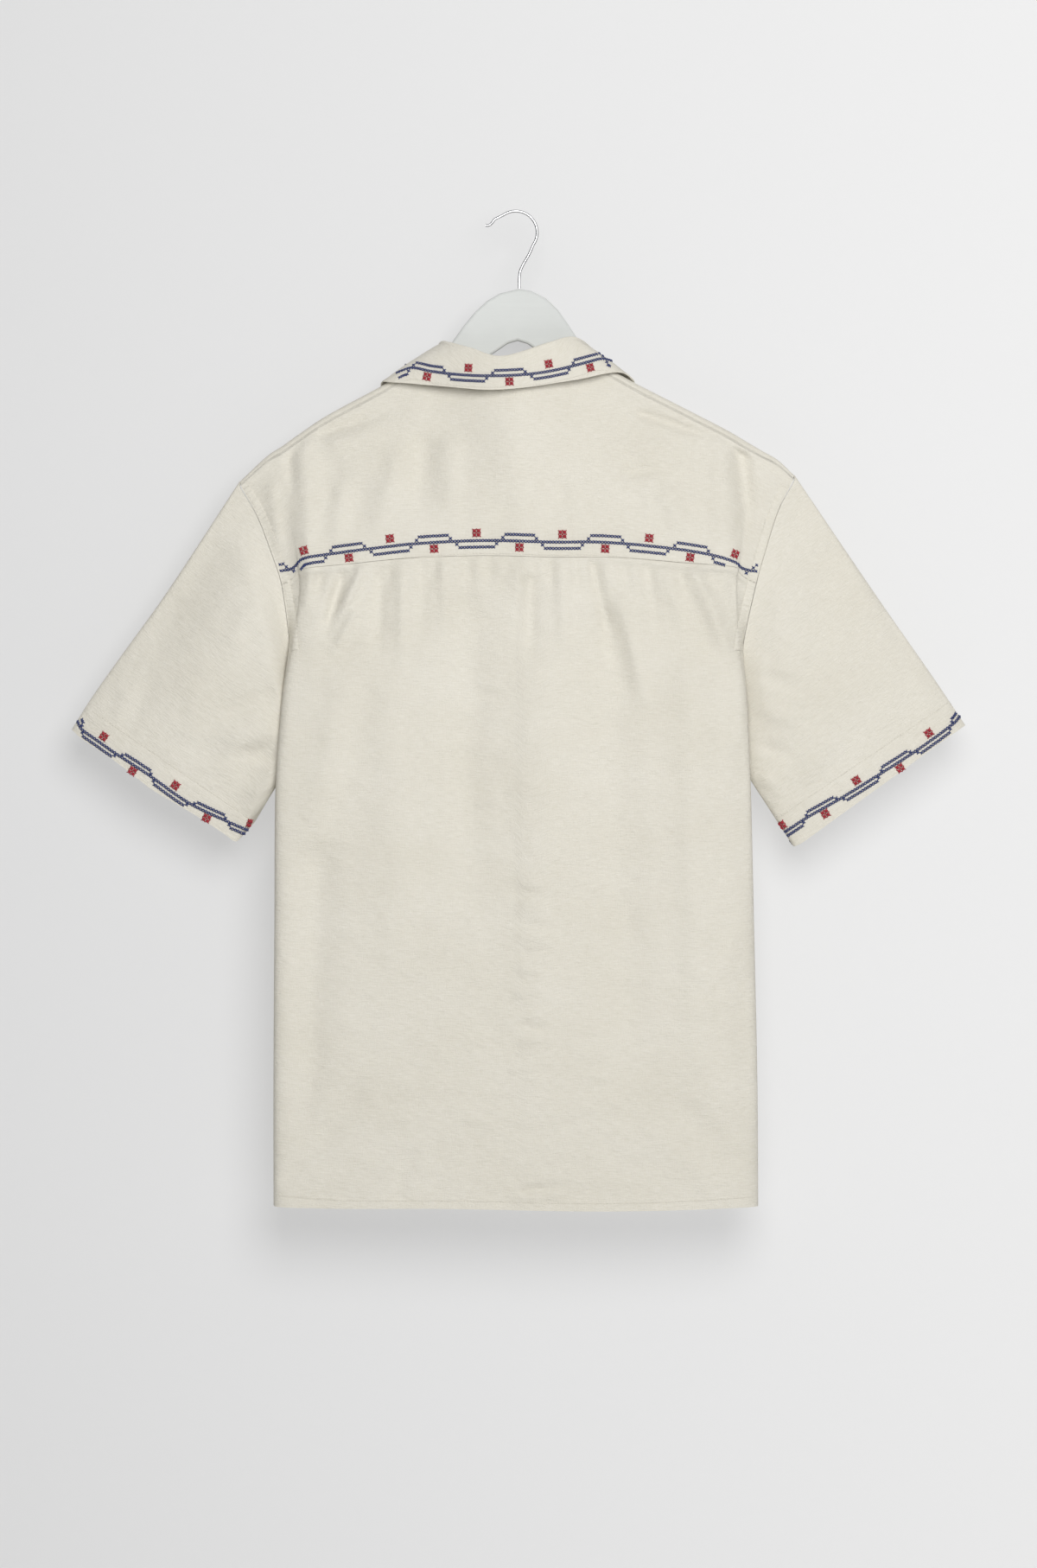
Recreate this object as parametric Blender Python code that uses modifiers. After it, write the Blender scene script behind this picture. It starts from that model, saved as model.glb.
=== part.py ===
"""A short-sleeve shirt on a flat wooden hanger, modelled as the pieces that a maker cuts and sews.

Metres, +Z up. The origin is inside the top of the hook, where the hanger hangs from its rail. The shirt's
back faces -Y, its front faces +Y, and the wearer's right arm is on the +X side.
"""
import math

import bmesh
import bpy
from mathutils import Vector

# Driving dimensions
WALL = 0.0012            # cloth wall
GAP = 0.0004             # space left at a seam
SLEEVE_GAP = 0.0008      # space between the armhole and the sleeve
SLEEVE_HEAD_GAP = 0.0009 # more of it on the shoulder, where the sleeve turns down
NECK_LEFT = -0.085       # where the neckline crosses the left shoulder
NECK_RIGHT = 0.079       # where it crosses the right shoulder
NECK_DROP = -0.1500      # height of the neckline at the middle of the back
NECK_DEPTH = 0.0300      # how far the neckline stands behind the hanger there
TURN_DEPTH = 0.0085      # half the depth of the cloth's turn over the hanger
TURN_RISE = 0.0080       # height of that turn
TURN_POWER = 3.0         # squareness of that turn
FRONT_DROP = 0.020       # length of the yoke in front, below the turn
FRONT_RISE = 0.002       # how far it leans forward there
EDGE_REACH = 0.25        # share of the yoke's columns that follow its armhole edge
NECK_SHARE = 1 / 3       # share of the yoke's columns that end on each shoulder, and at the neckline
BACK_COLUMNS = 36
YOKE_ROWS = 6
TURN_ROWS = 8
TURN_SHARE = 0.625       # share of the turn rows that go round the hanger
PANEL_ROWS = 18
ROW_CROWDING = 1.35      # how much closer the rows lie at the armholes than at the hem
CORNER_SHARE = 0.12      # share of the back's columns in each side fold
RETURN_SLOPE = 0.45      # how steeply a side fold turns in to its seam
RETURN_REACH = 0.008     # overhang at which it has that slope
BREAK_HEIGHT = -0.315    # where the fronts start to open into the neck
LAPEL_FOOT = -0.283      # height of the lapels' lower end
LAPEL_TOP = -0.205       # height of the lapels' upper edge
LAPEL_GAP = 0.0006       # space between a lapel and its front
PLACKET = 0.015          # how far each front passes the middle
UNDERLAP = 0.0030        # how far the right front lies behind the left one
UNDERLAP_REACH = 0.05    # how far from the middle it starts to sink there
FRONT_SWELL = 0.030      # how far the fronts come forward below the shoulders
FRONT_SWELL_REACH = 0.12 # how soon they do
FRONT_CORNER = 0.040     # width of each front's turn in to its side seam
FRONT_CORNER_SHARE = 0.2 # share of the front's columns in that turn
FRONT_COLUMNS, FRONT_ROWS = 14, 18
LAPEL_LEAST = 0.006      # width of a lapel at its foot
LAPEL_SPREAD = 0.050     # how much wider it is at its top
LAPEL_RISE = 0.012       # how much higher its outer corner is than its fold
LAPEL_COLUMNS, LAPEL_ROWS = 8, 4
BUTTON_HEIGHTS = (-0.345, -0.440, -0.535, -0.630, -0.725, -0.820)
BUTTON_RADIUS = 0.0055
BUTTON_THICKNESS = 0.0024
HANGER_HALF = 0.0055     # half the hanger's thickness
HANGER_CHAMFER = 0.002
HANGER_SEAT = 0.0028     # cloth and clearance over the hanger's arms
HOOK_RADIUS = 0.0014     # radius of the hook's wire


class Table:
    """Rows of named columns. A value between two rows is read from a smooth curve through them."""

    def __init__(self, names, *rows):
        self.names = names.split()
        self.rows = rows

    def at(self, name, key):
        column = self.names.index(name)
        keys = [row[0] for row in self.rows]
        values = [row[column] for row in self.rows]
        if (key - keys[0]) * (keys[-1] - keys[0]) <= 0:
            return values[0]
        if (key - keys[-1]) * (keys[-1] - keys[0]) >= 0:
            return values[-1]
        last = len(keys) - 1
        i = next(n for n in range(last) if (key - keys[n]) * (key - keys[n + 1]) <= 0)
        slopes = []
        for n in (i, i + 1):
            low, high = max(n - 1, 0), min(n + 1, last)
            slopes.append((values[high] - values[low]) / (keys[high] - keys[low]))
        span = keys[i + 1] - keys[i]
        t = (key - keys[i]) / span
        return (
            values[i] * (1 + 2 * t) * (1 - t) ** 2
            + slopes[0] * span * t * (1 - t) ** 2
            + values[i + 1] * t * t * (3 - 2 * t)
            - slopes[1] * span * t * t * (1 - t)
        )


# Upper outline of the shoulders, from the left sleeve head to the right one
RIDGE = Table(
    "x z",
    (-0.2570, -0.2480),
    (-0.2320, -0.2248),
    (-0.2184, -0.2160),
    (-0.2080, -0.2085),
    (-0.1792, -0.1890),
    (-0.1232, -0.1585),
    (-0.0850, -0.1350),
    (-0.0100, -0.1200),
    (0.0650, -0.1360),
    (0.1120, -0.1600),
    (0.1648, -0.1868),
    (0.1944, -0.2022),
    (0.2048, -0.2083),
    (0.2248, -0.2202),
    (0.2400, -0.2290),
    (0.2544, -0.2424),
)

# Half depth and height of the turn over the shoulders, smaller past the hanger's tips
TURN = Table(
    "x depth rise",
    (-0.2570, 0.0045, 0.0050),
    (-0.2300, 0.0070, 0.0070),
    (-0.2120, TURN_DEPTH, TURN_RISE),
    (0.2000, TURN_DEPTH, TURN_RISE),
    (0.2250, 0.0070, 0.0070),
    (0.2544, 0.0045, 0.0050),
)

# Seam between the yoke and the back
YOKE_SEAM = Table(
    "x z",
    (-0.2187, -0.3445),
    (-0.2040, -0.3388),
    (-0.1900, -0.3320),
    (-0.1360, -0.3256),
    (-0.0912, -0.3208),
    (-0.0300, -0.3182),
    (0.0300, -0.3196),
    (0.0784, -0.3198),
    (0.1360, -0.3248),
    (0.1848, -0.3293),
    (0.2040, -0.3375),
    (0.2196, -0.3432),
)

HEM = Table(
    "x z",
    (-0.2256, -0.9150),
    (-0.1600, -0.9195),
    (-0.0600, -0.9198),
    (0.0640, -0.9222),
    (0.1500, -0.9205),
    (0.2208, -0.9160),
)

# Sections of the two sides: where the flat back starts to turn, the outline of its side fold, and the
# seam that it turns in to, which is the armhole down to the underarm and the side seam below it.
# front_y is the depth of the front's own edge at that height.
LEFT_SIDE = Table(
    "z turn_x fold_x edge_x edge_y front_y",
    (-0.2480, -0.205, -0.2310, -0.2570, -0.0045, 0.0045),
    (-0.2530, -0.205, -0.2300, -0.2570, -0.0045, 0.0045),
    (-0.2808, -0.200, -0.2200, -0.2416, -0.0095, 0.0090),
    (-0.3168, -0.190, -0.2080, -0.2276, -0.0155, 0.0140),
    (-0.3445, -0.185, -0.2016, -0.2187, -0.0190, 0.0160),
    (-0.4070, -0.182, -0.2104, -0.2104, -0.0130, 0.0150),
    (-0.4490, -0.185, -0.2176, -0.2070, -0.0060, 0.0120),
    (-0.5010, -0.190, -0.2224, -0.2056, 0.0005, 0.0010),
    (-0.5460, -0.192, -0.2243, -0.2080, 0.0020, 0.0025),
    (-0.6500, -0.192, -0.2248, -0.2100, 0.0030, 0.0035),
    (-0.8000, -0.192, -0.2256, -0.2110, 0.0030, 0.0035),
    (-0.9200, -0.192, -0.2256, -0.2110, 0.0030, 0.0035),
)
RIGHT_SIDE = Table(
    "z turn_x fold_x edge_x edge_y front_y",
    (-0.2424, 0.205, 0.2300, 0.2544, -0.0045, 0.0045),
    (-0.2474, 0.205, 0.2290, 0.2544, -0.0045, 0.0045),
    (-0.2752, 0.200, 0.2190, 0.2404, -0.0095, 0.0090),
    (-0.3136, 0.190, 0.2080, 0.2280, -0.0155, 0.0140),
    (-0.3432, 0.185, 0.2016, 0.2196, -0.0190, 0.0160),
    (-0.3990, 0.178, 0.2042, 0.2078, -0.0130, 0.0150),
    (-0.4520, 0.182, 0.2104, 0.2035, -0.0060, 0.0120),
    (-0.5010, 0.184, 0.2130, 0.1990, 0.0005, 0.0010),
    (-0.5460, 0.185, 0.2145, 0.1990, 0.0020, 0.0025),
    (-0.6500, 0.186, 0.2168, 0.2020, 0.0030, 0.0035),
    (-0.8000, 0.188, 0.2200, 0.2050, 0.0030, 0.0035),
    (-0.9200, 0.188, 0.2208, 0.2060, 0.0030, 0.0035),
)
UNDERARM = -0.5010
SIDES = {-1: LEFT_SIDE, 1: RIGHT_SIDE}

# Depth of the flat back behind the hanger, and how much further its middle stands out
BACK_DEPTH = Table(
    "z depth",
    (-0.3000, 0.0290),
    (-0.4500, 0.0360),
    (-0.6000, 0.0430),
    (-0.8000, 0.0450),
    (-0.9200, 0.0420),
)
BACK_BOW = 0.004

# Largest folds of the back: a line from its top to its bottom, its half width and its height. A ridge
# stands out from the back and a trough, with a height below nothing, sinks in.
BACK_FOLDS = Table(
    "top_x top_z bottom_x bottom_z width height",
    (-0.160, -0.330, -0.205, -0.560, 0.014, 0.0030),
    (-0.136, -0.330, -0.172, -0.400, 0.009, -0.0040),
    (-0.160, -0.345, -0.163, -0.440, 0.012, -0.0030),
    (-0.095, -0.325, -0.105, -0.600, 0.020, 0.0030),
    (-0.045, -0.325, -0.060, -0.700, 0.022, -0.0030),
    (-0.002, -0.322, -0.004, -0.880, 0.030, 0.0035),
    (0.060, -0.325, 0.112, -0.470, 0.012, -0.0035),
    (0.082, -0.420, 0.100, -0.860, 0.026, -0.0040),
    (0.128, -0.335, 0.140, -0.760, 0.022, 0.0035),
    (-0.185, -0.600, -0.150, -0.880, 0.022, -0.0040),
    (-0.140, -0.700, -0.190, -0.900, 0.016, 0.0030),
    (0.090, -0.780, 0.180, -0.905, 0.014, 0.0030),
)

# Sleeve openings: the outer corner, the lowest point of the edge and the inner corner under the arm,
# with half the depth of the opening
CUFFS = {
    -1: {
        "outer": Vector((-0.4136, 0.0, -0.4785)),
        "low": Vector((-0.2620, -0.006, -0.5815)),
        "inner": Vector((-0.2440, 0.004, -0.5640)),
    },
    1: {
        "outer": Vector((0.4136, 0.0, -0.4745)),
        "low": Vector((0.2640, -0.006, -0.5825)),
        "inner": Vector((0.2540, 0.004, -0.5860)),
    },
}
CUFF_DEPTH = 0.013
CUFF_BEND = 0.86           # share of the edge before it turns up to the inner corner
CUFF_SAG = {-1: 0.0035, 1: 0.0}  # how far each edge sags below a straight line
SLEEVE_SWELL = 0.006       # how far each side of a sleeve stands out
SLEEVE_COLUMNS = 32
SLEEVE_ROWS = 9

# Stations along the collar, from its left point in front, round the back neck, to its right point.
# n is the neck seam, f the fold and l the edge of the leaf.
COLLAR = Table(
    "at nx ny nz fx fy fz lx ly lz",
    (0.00, -0.0620, 0.0270, -0.2050, -0.0640, 0.0330, -0.1980, -0.1080, 0.0270, -0.2280),
    (0.10, -0.0745, 0.0190, -0.1700, -0.0705, 0.0250, -0.1540, -0.1210, 0.0200, -0.1950),
    (0.20, -0.0835, 0.0110, -0.1420, -0.0730, 0.0110, -0.1260, -0.1270, 0.0135, -0.1640),
    (0.26, -0.0835, 0.0000, -0.1335, -0.0710, -0.0010, -0.1192, -0.1262, 0.0000, -0.1562),
    (0.32, -0.0800, -0.0120, -0.1370, -0.0640, -0.0150, -0.1204, -0.1190, -0.0140, -0.1570),
    (0.40, -0.0520, -0.0240, -0.1430, -0.0450, -0.0290, -0.1262, -0.0800, -0.0310, -0.1608),
    (0.50, -0.0120, -0.0300, -0.1475, -0.0152, -0.0360, -0.1341, -0.0180, -0.0450, -0.1654),
    (0.60, 0.0320, -0.0240, -0.1430, 0.0280, -0.0300, -0.1215, 0.0480, -0.0340, -0.1568),
    (0.68, 0.0700, -0.0120, -0.1430, 0.0500, -0.0165, -0.1155, 0.0900, -0.0170, -0.1466),
    (0.74, 0.0765, 0.0000, -0.1410, 0.0640, -0.0010, -0.1225, 0.1050, 0.0000, -0.1530),
    (0.80, 0.0765, 0.0110, -0.1490, 0.0660, 0.0110, -0.1300, 0.1080, 0.0135, -0.1640),
    (0.90, 0.0670, 0.0190, -0.1700, 0.0630, 0.0250, -0.1550, 0.1060, 0.0200, -0.1950),
    (1.00, 0.0550, 0.0270, -0.2050, 0.0570, 0.0330, -0.1980, 0.0990, 0.0270, -0.2280),
)
COLLAR_STATIONS = 44
COLLAR_ROLL = 0.0022       # radius of the roll at the fold
COLLAR_BOW = 0.0010        # how far the leaf bows up
COLLAR_STEPS = 8           # faces from the neck seam over the fold to the edge of the leaf
STAND_BEND = 0.55          # place of the middle vertex of the stand

# Upper outline of the hanger where it stands clear of the collar, then the height of its lower edge
HANGER_DOME = Table(
    "x z",
    (-0.0610, -0.1195),
    (-0.0512, -0.1056),
    (-0.0400, -0.0920),
    (-0.0288, -0.0818),
    (-0.0176, -0.0752),
    (0.0000, -0.0708),
    (0.0120, -0.0728),
    (0.0252, -0.0795),
    (0.0365, -0.0904),
    (0.0456, -0.1032),
    (0.0533, -0.1150),
)
HANGER_TIPS = (-0.2090, 0.1960)
HANGER_UNDER = Table(
    "x z",
    (-0.2060, -0.2270),
    (-0.1200, -0.1830),
    (-0.0300, -0.1350),
    (-0.0010, -0.1186),
    (0.0280, -0.1350),
    (0.1150, -0.1830),
    (0.1930, -0.2230),
)

# The hook's wire, from its tip over the top and down to the hanger
HOOK_TIP = ((-0.0304, -0.0118), (-0.0262, -0.0112), (-0.0222, -0.0062))
HOOK_ARC_CENTRE = (-0.0026, -0.0184)
HOOK_ARC_RADIUS = 0.0198
HOOK_ARC_FROM = 125
HOOK_ARC_TO = -35
HOOK_SHANK = ((0.0098, -0.0385), (0.0050, -0.0468), (0.0016, -0.0540), (0.0007, -0.0610))
HOOK_FOOT = -0.0702


def ease(t):
    """A soft step from 0 to 1."""
    t = min(max(t, 0.0), 1.0)
    return t * t * (3 - 2 * t)


def mix(a, b, t):
    return a * (1 - t) + b * t


def bezier(a, b, c, d, t):
    return a * (1 - t) ** 3 + 3 * b * t * (1 - t) ** 2 + 3 * c * t * t * (1 - t) + d * t**3


def fold_height(x, z):
    """How far the largest folds stand out from the back at a place."""
    height = 0.0
    for top_x, top_z, bottom_x, bottom_z, width, rise in BACK_FOLDS.rows:
        line_x, line_z = bottom_x - top_x, bottom_z - top_z
        length = math.hypot(line_x, line_z)
        along = ((x - top_x) * line_x + (z - top_z) * line_z) / length
        aside = ((x - top_x) * line_z - (z - top_z) * line_x) / length
        fade = ease((along + width) / (2 * width)) * ease((length - along) / (0.5 * length))
        height += rise * fade * math.exp(-((aside / width) ** 2))
    return height


def back_point(across, z_of, down):
    """A point of the back below the yoke seam. across runs from the left seam to the right one."""
    side = -1 if across < 0.5 else 1
    inward = min(across, 1 - across) / CORNER_SHARE
    guess = mix(-0.2187, 0.2196, across)
    z = z_of(guess, down)
    table = SIDES[side]
    turn = table.at("turn_x", z)
    depth = BACK_DEPTH.at("depth", z)
    if inward < 1:
        edge = Vector((table.at("edge_x", z), table.at("edge_y", z), z))
        fold = table.at("fold_x", z)
        corner = (8 * fold - turn - edge.x) / 6
        tucked = RETURN_SLOPE * ease(side * (fold - edge.x) / RETURN_REACH + 0.5)
        point = bezier(
            edge,
            Vector((corner, mix(edge.y, -depth, tucked), z)),
            Vector((corner, -depth, z)),
            Vector((turn, -depth, z)),
            inward,
        )
    else:
        share = (across - CORNER_SHARE) / (1 - 2 * CORNER_SHARE)
        x = mix(LEFT_SIDE.at("turn_x", z), RIGHT_SIDE.at("turn_x", z), share)
        bow = BACK_BOW * ease(4 * share * (1 - share))
        point = Vector((x, -depth - bow - fold_height(x, z), z))
    return point


def panel_height(x, down):
    """Height of a place on the back between the yoke seam and the hem."""
    return mix(YOKE_SEAM.at("z", x) - GAP, HEM.at("z", x), down)


def back_surface(u, v):
    return back_point(u, panel_height, (1 - v) ** ROW_CROWDING)


def yoke_top_x(u):
    """Where a column of the yoke crosses the shoulder or the neckline."""
    if u <= NECK_SHARE:
        return mix(RIDGE.rows[0][0], NECK_LEFT, u / NECK_SHARE)
    if u >= 2 * NECK_SHARE:
        return mix(NECK_RIGHT, RIDGE.rows[-1][0], (u - 2 * NECK_SHARE) / NECK_SHARE)
    return mix(NECK_LEFT, NECK_RIGHT, (u - NECK_SHARE) / NECK_SHARE)


def turn_point(x, angle):
    """A point on the turn over the shoulders, from behind (180 degrees) over the top to the front (0)."""
    power = 2 / TURN_POWER
    depth, rise = TURN.at("depth", x), TURN.at("rise", x)
    cosine, sine = math.cos(angle), max(math.sin(angle), 0.0)
    y = math.copysign(depth * abs(cosine) ** power, cosine)
    return Vector((x, y, RIDGE.at("z", x) - rise + rise * sine**power))


def yoke_top(u):
    """Upper end of a column on the back: the start of the shoulder's turn, or the neckline."""
    x = yoke_top_x(u)
    point = turn_point(x, math.pi)
    if NECK_SHARE < u < 2 * NECK_SHARE:
        bell = math.sin(math.pi * (u - NECK_SHARE) / NECK_SHARE)
        point.z = mix(point.z, NECK_DROP, ease(bell))
        point.y = mix(point.y, -NECK_DEPTH, bell)
    return point


def yoke_surface(u, v):
    row = round(v * (YOKE_ROWS + TURN_ROWS))
    if row <= YOKE_ROWS:
        t = row / YOKE_ROWS
        seam = back_point(u, lambda x, down: YOKE_SEAM.at("z", x), 0.0)
        point = mix(seam, yoke_top(u), t)
        side = -1 if u < 0.5 else 1
        nearness = max(0.0, 1 - min(u, 1 - u) / EDGE_REACH)
        edge_z = mix(yoke_edge(side, 0).z, yoke_edge(side, 1).z, t)
        straight = mix(yoke_edge(side, 0).x, yoke_edge(side, 1).x, t)
        point.x += nearness * (SIDES[side].at("edge_x", edge_z) - straight)
        if nearness == 1:
            point.y = SIDES[side].at("edge_y", edge_z)
        return point
    along = (row - YOKE_ROWS) / TURN_ROWS
    x = yoke_top_x(u)
    if along <= TURN_SHARE:
        return turn_point(x, math.pi * (1 - along / TURN_SHARE))
    down = (along - TURN_SHARE) / (1 - TURN_SHARE)
    front = turn_point(x, 0.0)
    front.z -= FRONT_DROP * down
    front.y += FRONT_RISE * down
    side = -1 if u < 0.5 else 1
    nearness = max(0.0, 1 - min(u, 1 - u) / EDGE_REACH)
    front.x += nearness * (SIDES[side].at("edge_x", front.z) - yoke_top_x(0.0 if side < 0 else 1.0))
    front.y = mix(front.y, SIDES[side].at("front_y", front.z), nearness**2)
    return front


def yoke_edge(side, t):
    """The yoke's own end of the armhole: the seam below (0) and the turn over the shoulder (1)."""
    u = 0.0 if side < 0 else 1.0
    if t == 0:
        return back_point(u, lambda x, down: YOKE_SEAM.at("z", x), 0.0)
    return yoke_top(u)


def front_depth(x, z):
    """Depth of the flat front at a place."""
    below = RIDGE.at("z", x) - z - TURN_RISE - FRONT_DROP
    start = TURN_DEPTH + FRONT_RISE
    return start + FRONT_SWELL * (1 - math.exp(-max(below, 0.0) / FRONT_SWELL_REACH))


def front_inner_x(side, z):
    """Edge of a front: past the middle below the break, and the neck's slope above it."""
    neck = NECK_LEFT if side < 0 else NECK_RIGHT
    top = RIDGE.at("z", neck) - TURN_RISE - FRONT_DROP
    middle = -side * PLACKET
    rise = (z - BREAK_HEIGHT) / (top - BREAK_HEIGHT)
    return mix(middle, neck, min(max(rise, 0.0), 1.0))


def front_surface(side, u, v):
    """u runs from the armhole or side seam to the middle, v from the hem to the shoulder seam."""
    outer_x = RIDGE.rows[0][0] if side < 0 else RIDGE.rows[-1][0]
    neck = NECK_LEFT if side < 0 else NECK_RIGHT
    top_x = mix(outer_x, neck, u)
    top_z = RIDGE.at("z", top_x) - TURN.at("rise", top_x) - FRONT_DROP - GAP
    hem_x = mix(SIDES[side].at("edge_x", -0.92), -side * PLACKET, u)
    z = mix(top_z, HEM.at("z", hem_x), (1 - v) ** ROW_CROWDING)
    table = SIDES[side]
    edge = Vector((table.at("edge_x", z), table.at("front_y", z) + GAP, z))
    inner = front_inner_x(side, z)
    turn_x = edge.x - side * FRONT_CORNER
    depth = front_depth(turn_x, z)
    if u < FRONT_CORNER_SHARE:
        return bezier(
            edge,
            Vector((edge.x + side * 0.002, mix(edge.y, depth, 0.4), z)),
            Vector((edge.x - side * 0.004, depth, z)),
            Vector((turn_x, depth, z)),
            u / FRONT_CORNER_SHARE,
        )
    x = mix(turn_x, inner, (u - FRONT_CORNER_SHARE) / (1 - FRONT_CORNER_SHARE))
    y = front_depth(x, z)
    if side > 0:
        y -= UNDERLAP * ease(1 - abs(x) / UNDERLAP_REACH)
    return Vector((x, y, z))


def armhole_point(side, down, front):
    """A point of the armhole. down is 0 on the shoulder and 1 under the arm."""
    table = SIDES[side]
    end_x = RIDGE.rows[0][0] if side < 0 else RIDGE.rows[-1][0]
    top = RIDGE.at("z", end_x)
    z = mix(top, UNDERARM, down)
    rise, depth = TURN.at("rise", end_x), TURN.at("depth", end_x)
    column = "front_y" if front else "edge_y"
    facing = 1 if front else -1
    height = (z - (top - rise)) / rise
    if height > 0:
        y = facing * depth * (1 - min(height, 1.0) ** TURN_POWER) ** (1 / TURN_POWER)
        return Vector((end_x, y, z))
    return Vector((table.at("edge_x", z), table.at(column, z), z))


def cuff_point(side, share, front):
    """A point of the sleeve's edge. share is 0 at the outer corner and 1 under the arm."""
    cuff = CUFFS[side]
    if front:
        point = mix(cuff["outer"], cuff["inner"], share)
    elif share < CUFF_BEND:
        point = mix(cuff["outer"], cuff["low"], share / CUFF_BEND)
        point.z -= CUFF_SAG[side] * math.sin(math.pi * share / CUFF_BEND)
    else:
        point = mix(cuff["low"], cuff["inner"], ease((share - CUFF_BEND) / (1 - CUFF_BEND)))
    facing = 1 if front else -1
    return Vector((point.x, facing * CUFF_DEPTH * math.sqrt(max(0.0, 4 * share * (1 - share))), point.z))


def sleeve_surface(side, u, v):
    """u runs round the sleeve from its upper fold, down behind, and up in front; v from cuff to armhole."""
    front = u > 0.5
    half = 2 * (1 - u) if front else 2 * u
    share = 0.5 - 0.5 * math.cos(math.pi * half)
    start = armhole_point(side, share, front)
    end = cuff_point(side, share, front)
    along = (end - start).normalized()
    start = start + along * SLEEVE_GAP
    start.x += side * SLEEVE_HEAD_GAP * ease(1 - share / 0.1)
    out = 1 - v
    point = mix(start, end, out)
    facing = 1 if front else -1
    swell = SLEEVE_SWELL * math.sin(math.pi * half) * ease(out * 2.5) * (1 - 0.5 * out)
    point.y += facing * swell
    return point


def collar_surface(u, v):
    """u runs along the collar, v from the neck seam over the fold to the edge of the leaf."""
    neck, fold, leaf = (Vector([COLLAR.at(name + axis, u) for axis in "xyz"]) for name in "nfl")
    away = Vector((leaf.x - neck.x, leaf.y - neck.y, 0.0)).normalized()
    drop = Vector((0.0, 0.0, COLLAR_ROLL))
    inner, outer = fold - away * COLLAR_ROLL - drop, fold + away * COLLAR_ROLL - drop
    step = round(v * COLLAR_STEPS)
    stops = {0: neck, 1: mix(neck, inner, STAND_BEND), 2: inner, 3: fold, 4: outer}
    if step in stops:
        return stops[step]
    t = (step - 4) / (COLLAR_STEPS - 4)
    lift = COLLAR_BOW * math.sin(math.pi * t)
    return mix(outer, leaf, t) + Vector((0.0, 0.0, lift))


def lapel_surface(side, u, v):
    """A front's turned-back neck edge. u runs from the break up to the collar, v from its fold outward."""
    z = mix(LAPEL_FOOT, LAPEL_TOP, u)
    fold_x = front_inner_x(side, z)
    width = LAPEL_LEAST + LAPEL_SPREAD * u**0.8
    x = fold_x + side * width * v
    z += LAPEL_RISE * v * u
    return Vector((x, front_depth(x, z) + WALL + LAPEL_GAP, z))


def make_material(name, colour, roughness, metallic=0.0):
    material = bpy.data.materials.new(name)
    material.use_nodes = True
    shader = material.node_tree.nodes["Principled BSDF"]
    shader.inputs["Base Color"].default_value = (*colour, 1.0)
    shader.inputs["Roughness"].default_value = roughness
    shader.inputs["Metallic"].default_value = metallic
    material.diffuse_color = (*colour, 1.0)
    return material


def add_object(name, data, material, smooth=True):
    thing = bpy.data.objects.new(name, data)
    SHIRT.objects.link(thing)
    data.materials.append(material)
    if smooth and isinstance(data, bpy.types.Mesh):
        data.shade_smooth()
        data.set_sharp_from_angle(angle=math.radians(35))
    return thing


def add_cloth(name, surface, columns, rows, material, flip=False, keep=None, tube=False, wall=WALL):
    """A flat grid bent to a surface and given its wall on the inner side."""
    grid = bmesh.new()
    bmesh.ops.create_grid(grid, x_segments=columns, y_segments=rows, size=0.5)
    places = {vert: (vert.co.x + 0.5, vert.co.y + 0.5) for vert in grid.verts}
    if keep:
        unwanted = []
        for face in grid.faces:
            middle = [sum(places[vert][i] for vert in face.verts) / len(face.verts) for i in (0, 1)]
            if not keep(*middle):
                unwanted.append(face)
        bmesh.ops.delete(grid, geom=unwanted, context="FACES")
    for vert in grid.verts:
        vert.co = surface(*places[vert])
    if tube:
        bmesh.ops.remove_doubles(grid, verts=grid.verts, dist=0.00001)
    if flip:
        bmesh.ops.reverse_faces(grid, faces=grid.faces)
    mesh = bpy.data.meshes.new(name)
    grid.to_mesh(mesh)
    grid.free()
    thing = add_object(name, mesh, material)
    solidify = thing.modifiers.new("Wall", "SOLIDIFY")
    solidify.thickness = wall
    solidify.offset = -1
    return thing


def add_button(name, x, z, material):
    """A turned button with a dished face, lying on the left front."""
    half = BUTTON_THICKNESS / 2
    profile = (
        (0.0, half * 0.4),
        (0.55, half * 0.4),
        (0.75, half),
        (0.92, half * 0.9),
        (1.0, 0.0),
        (0.90, -half),
        (0.0, -half),
    )
    outline = bmesh.new()
    points = [outline.verts.new((share * BUTTON_RADIUS, 0.0, height)) for share, height in profile]
    for first, second in zip(points, points[1:]):
        outline.edges.new((first, second))
    mesh = bpy.data.meshes.new(name)
    outline.to_mesh(mesh)
    outline.free()
    button = add_object(name, mesh, material)
    turned = button.modifiers.new("Turned", "SCREW")
    turned.steps = turned.render_steps = 20
    turned.use_merge_vertices = True
    turned.merge_threshold = 0.00001
    button.location = (x, front_depth(x, z) + half + GAP, z)
    button.rotation_euler = (math.radians(-90), 0.0, 0.0)
    return button


def hanger_outline():
    """Points round the hanger, from its left tip over the dome to the right tip and back underneath."""
    left_tip, right_tip = HANGER_TIPS
    upper = []
    steps = 14
    for i in range(steps + 1):
        x = mix(left_tip + 0.004, -0.078, i / steps)
        upper.append((x, RIDGE.at("z", x) - HANGER_SEAT))
    upper += list(HANGER_DOME.rows)
    for i in range(steps + 1):
        x = mix(0.071, right_tip - 0.004, i / steps)
        upper.append((x, RIDGE.at("z", x) - HANGER_SEAT))
    lower = [(x, HANGER_UNDER.at("z", x)) for x in (0.193, 0.154, 0.115, 0.072, 0.028, 0.008, -0.001)]
    lower += [(x, HANGER_UNDER.at("z", x)) for x in (-0.010, -0.030, -0.075, -0.120, -0.163, -0.206)]
    right_end = [(right_tip, RIDGE.at("z", right_tip) - 0.007), (right_tip, -0.218)]
    left_end = [(left_tip, -0.222), (left_tip, RIDGE.at("z", left_tip) - 0.007)]
    return upper + right_end + lower + left_end


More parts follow.
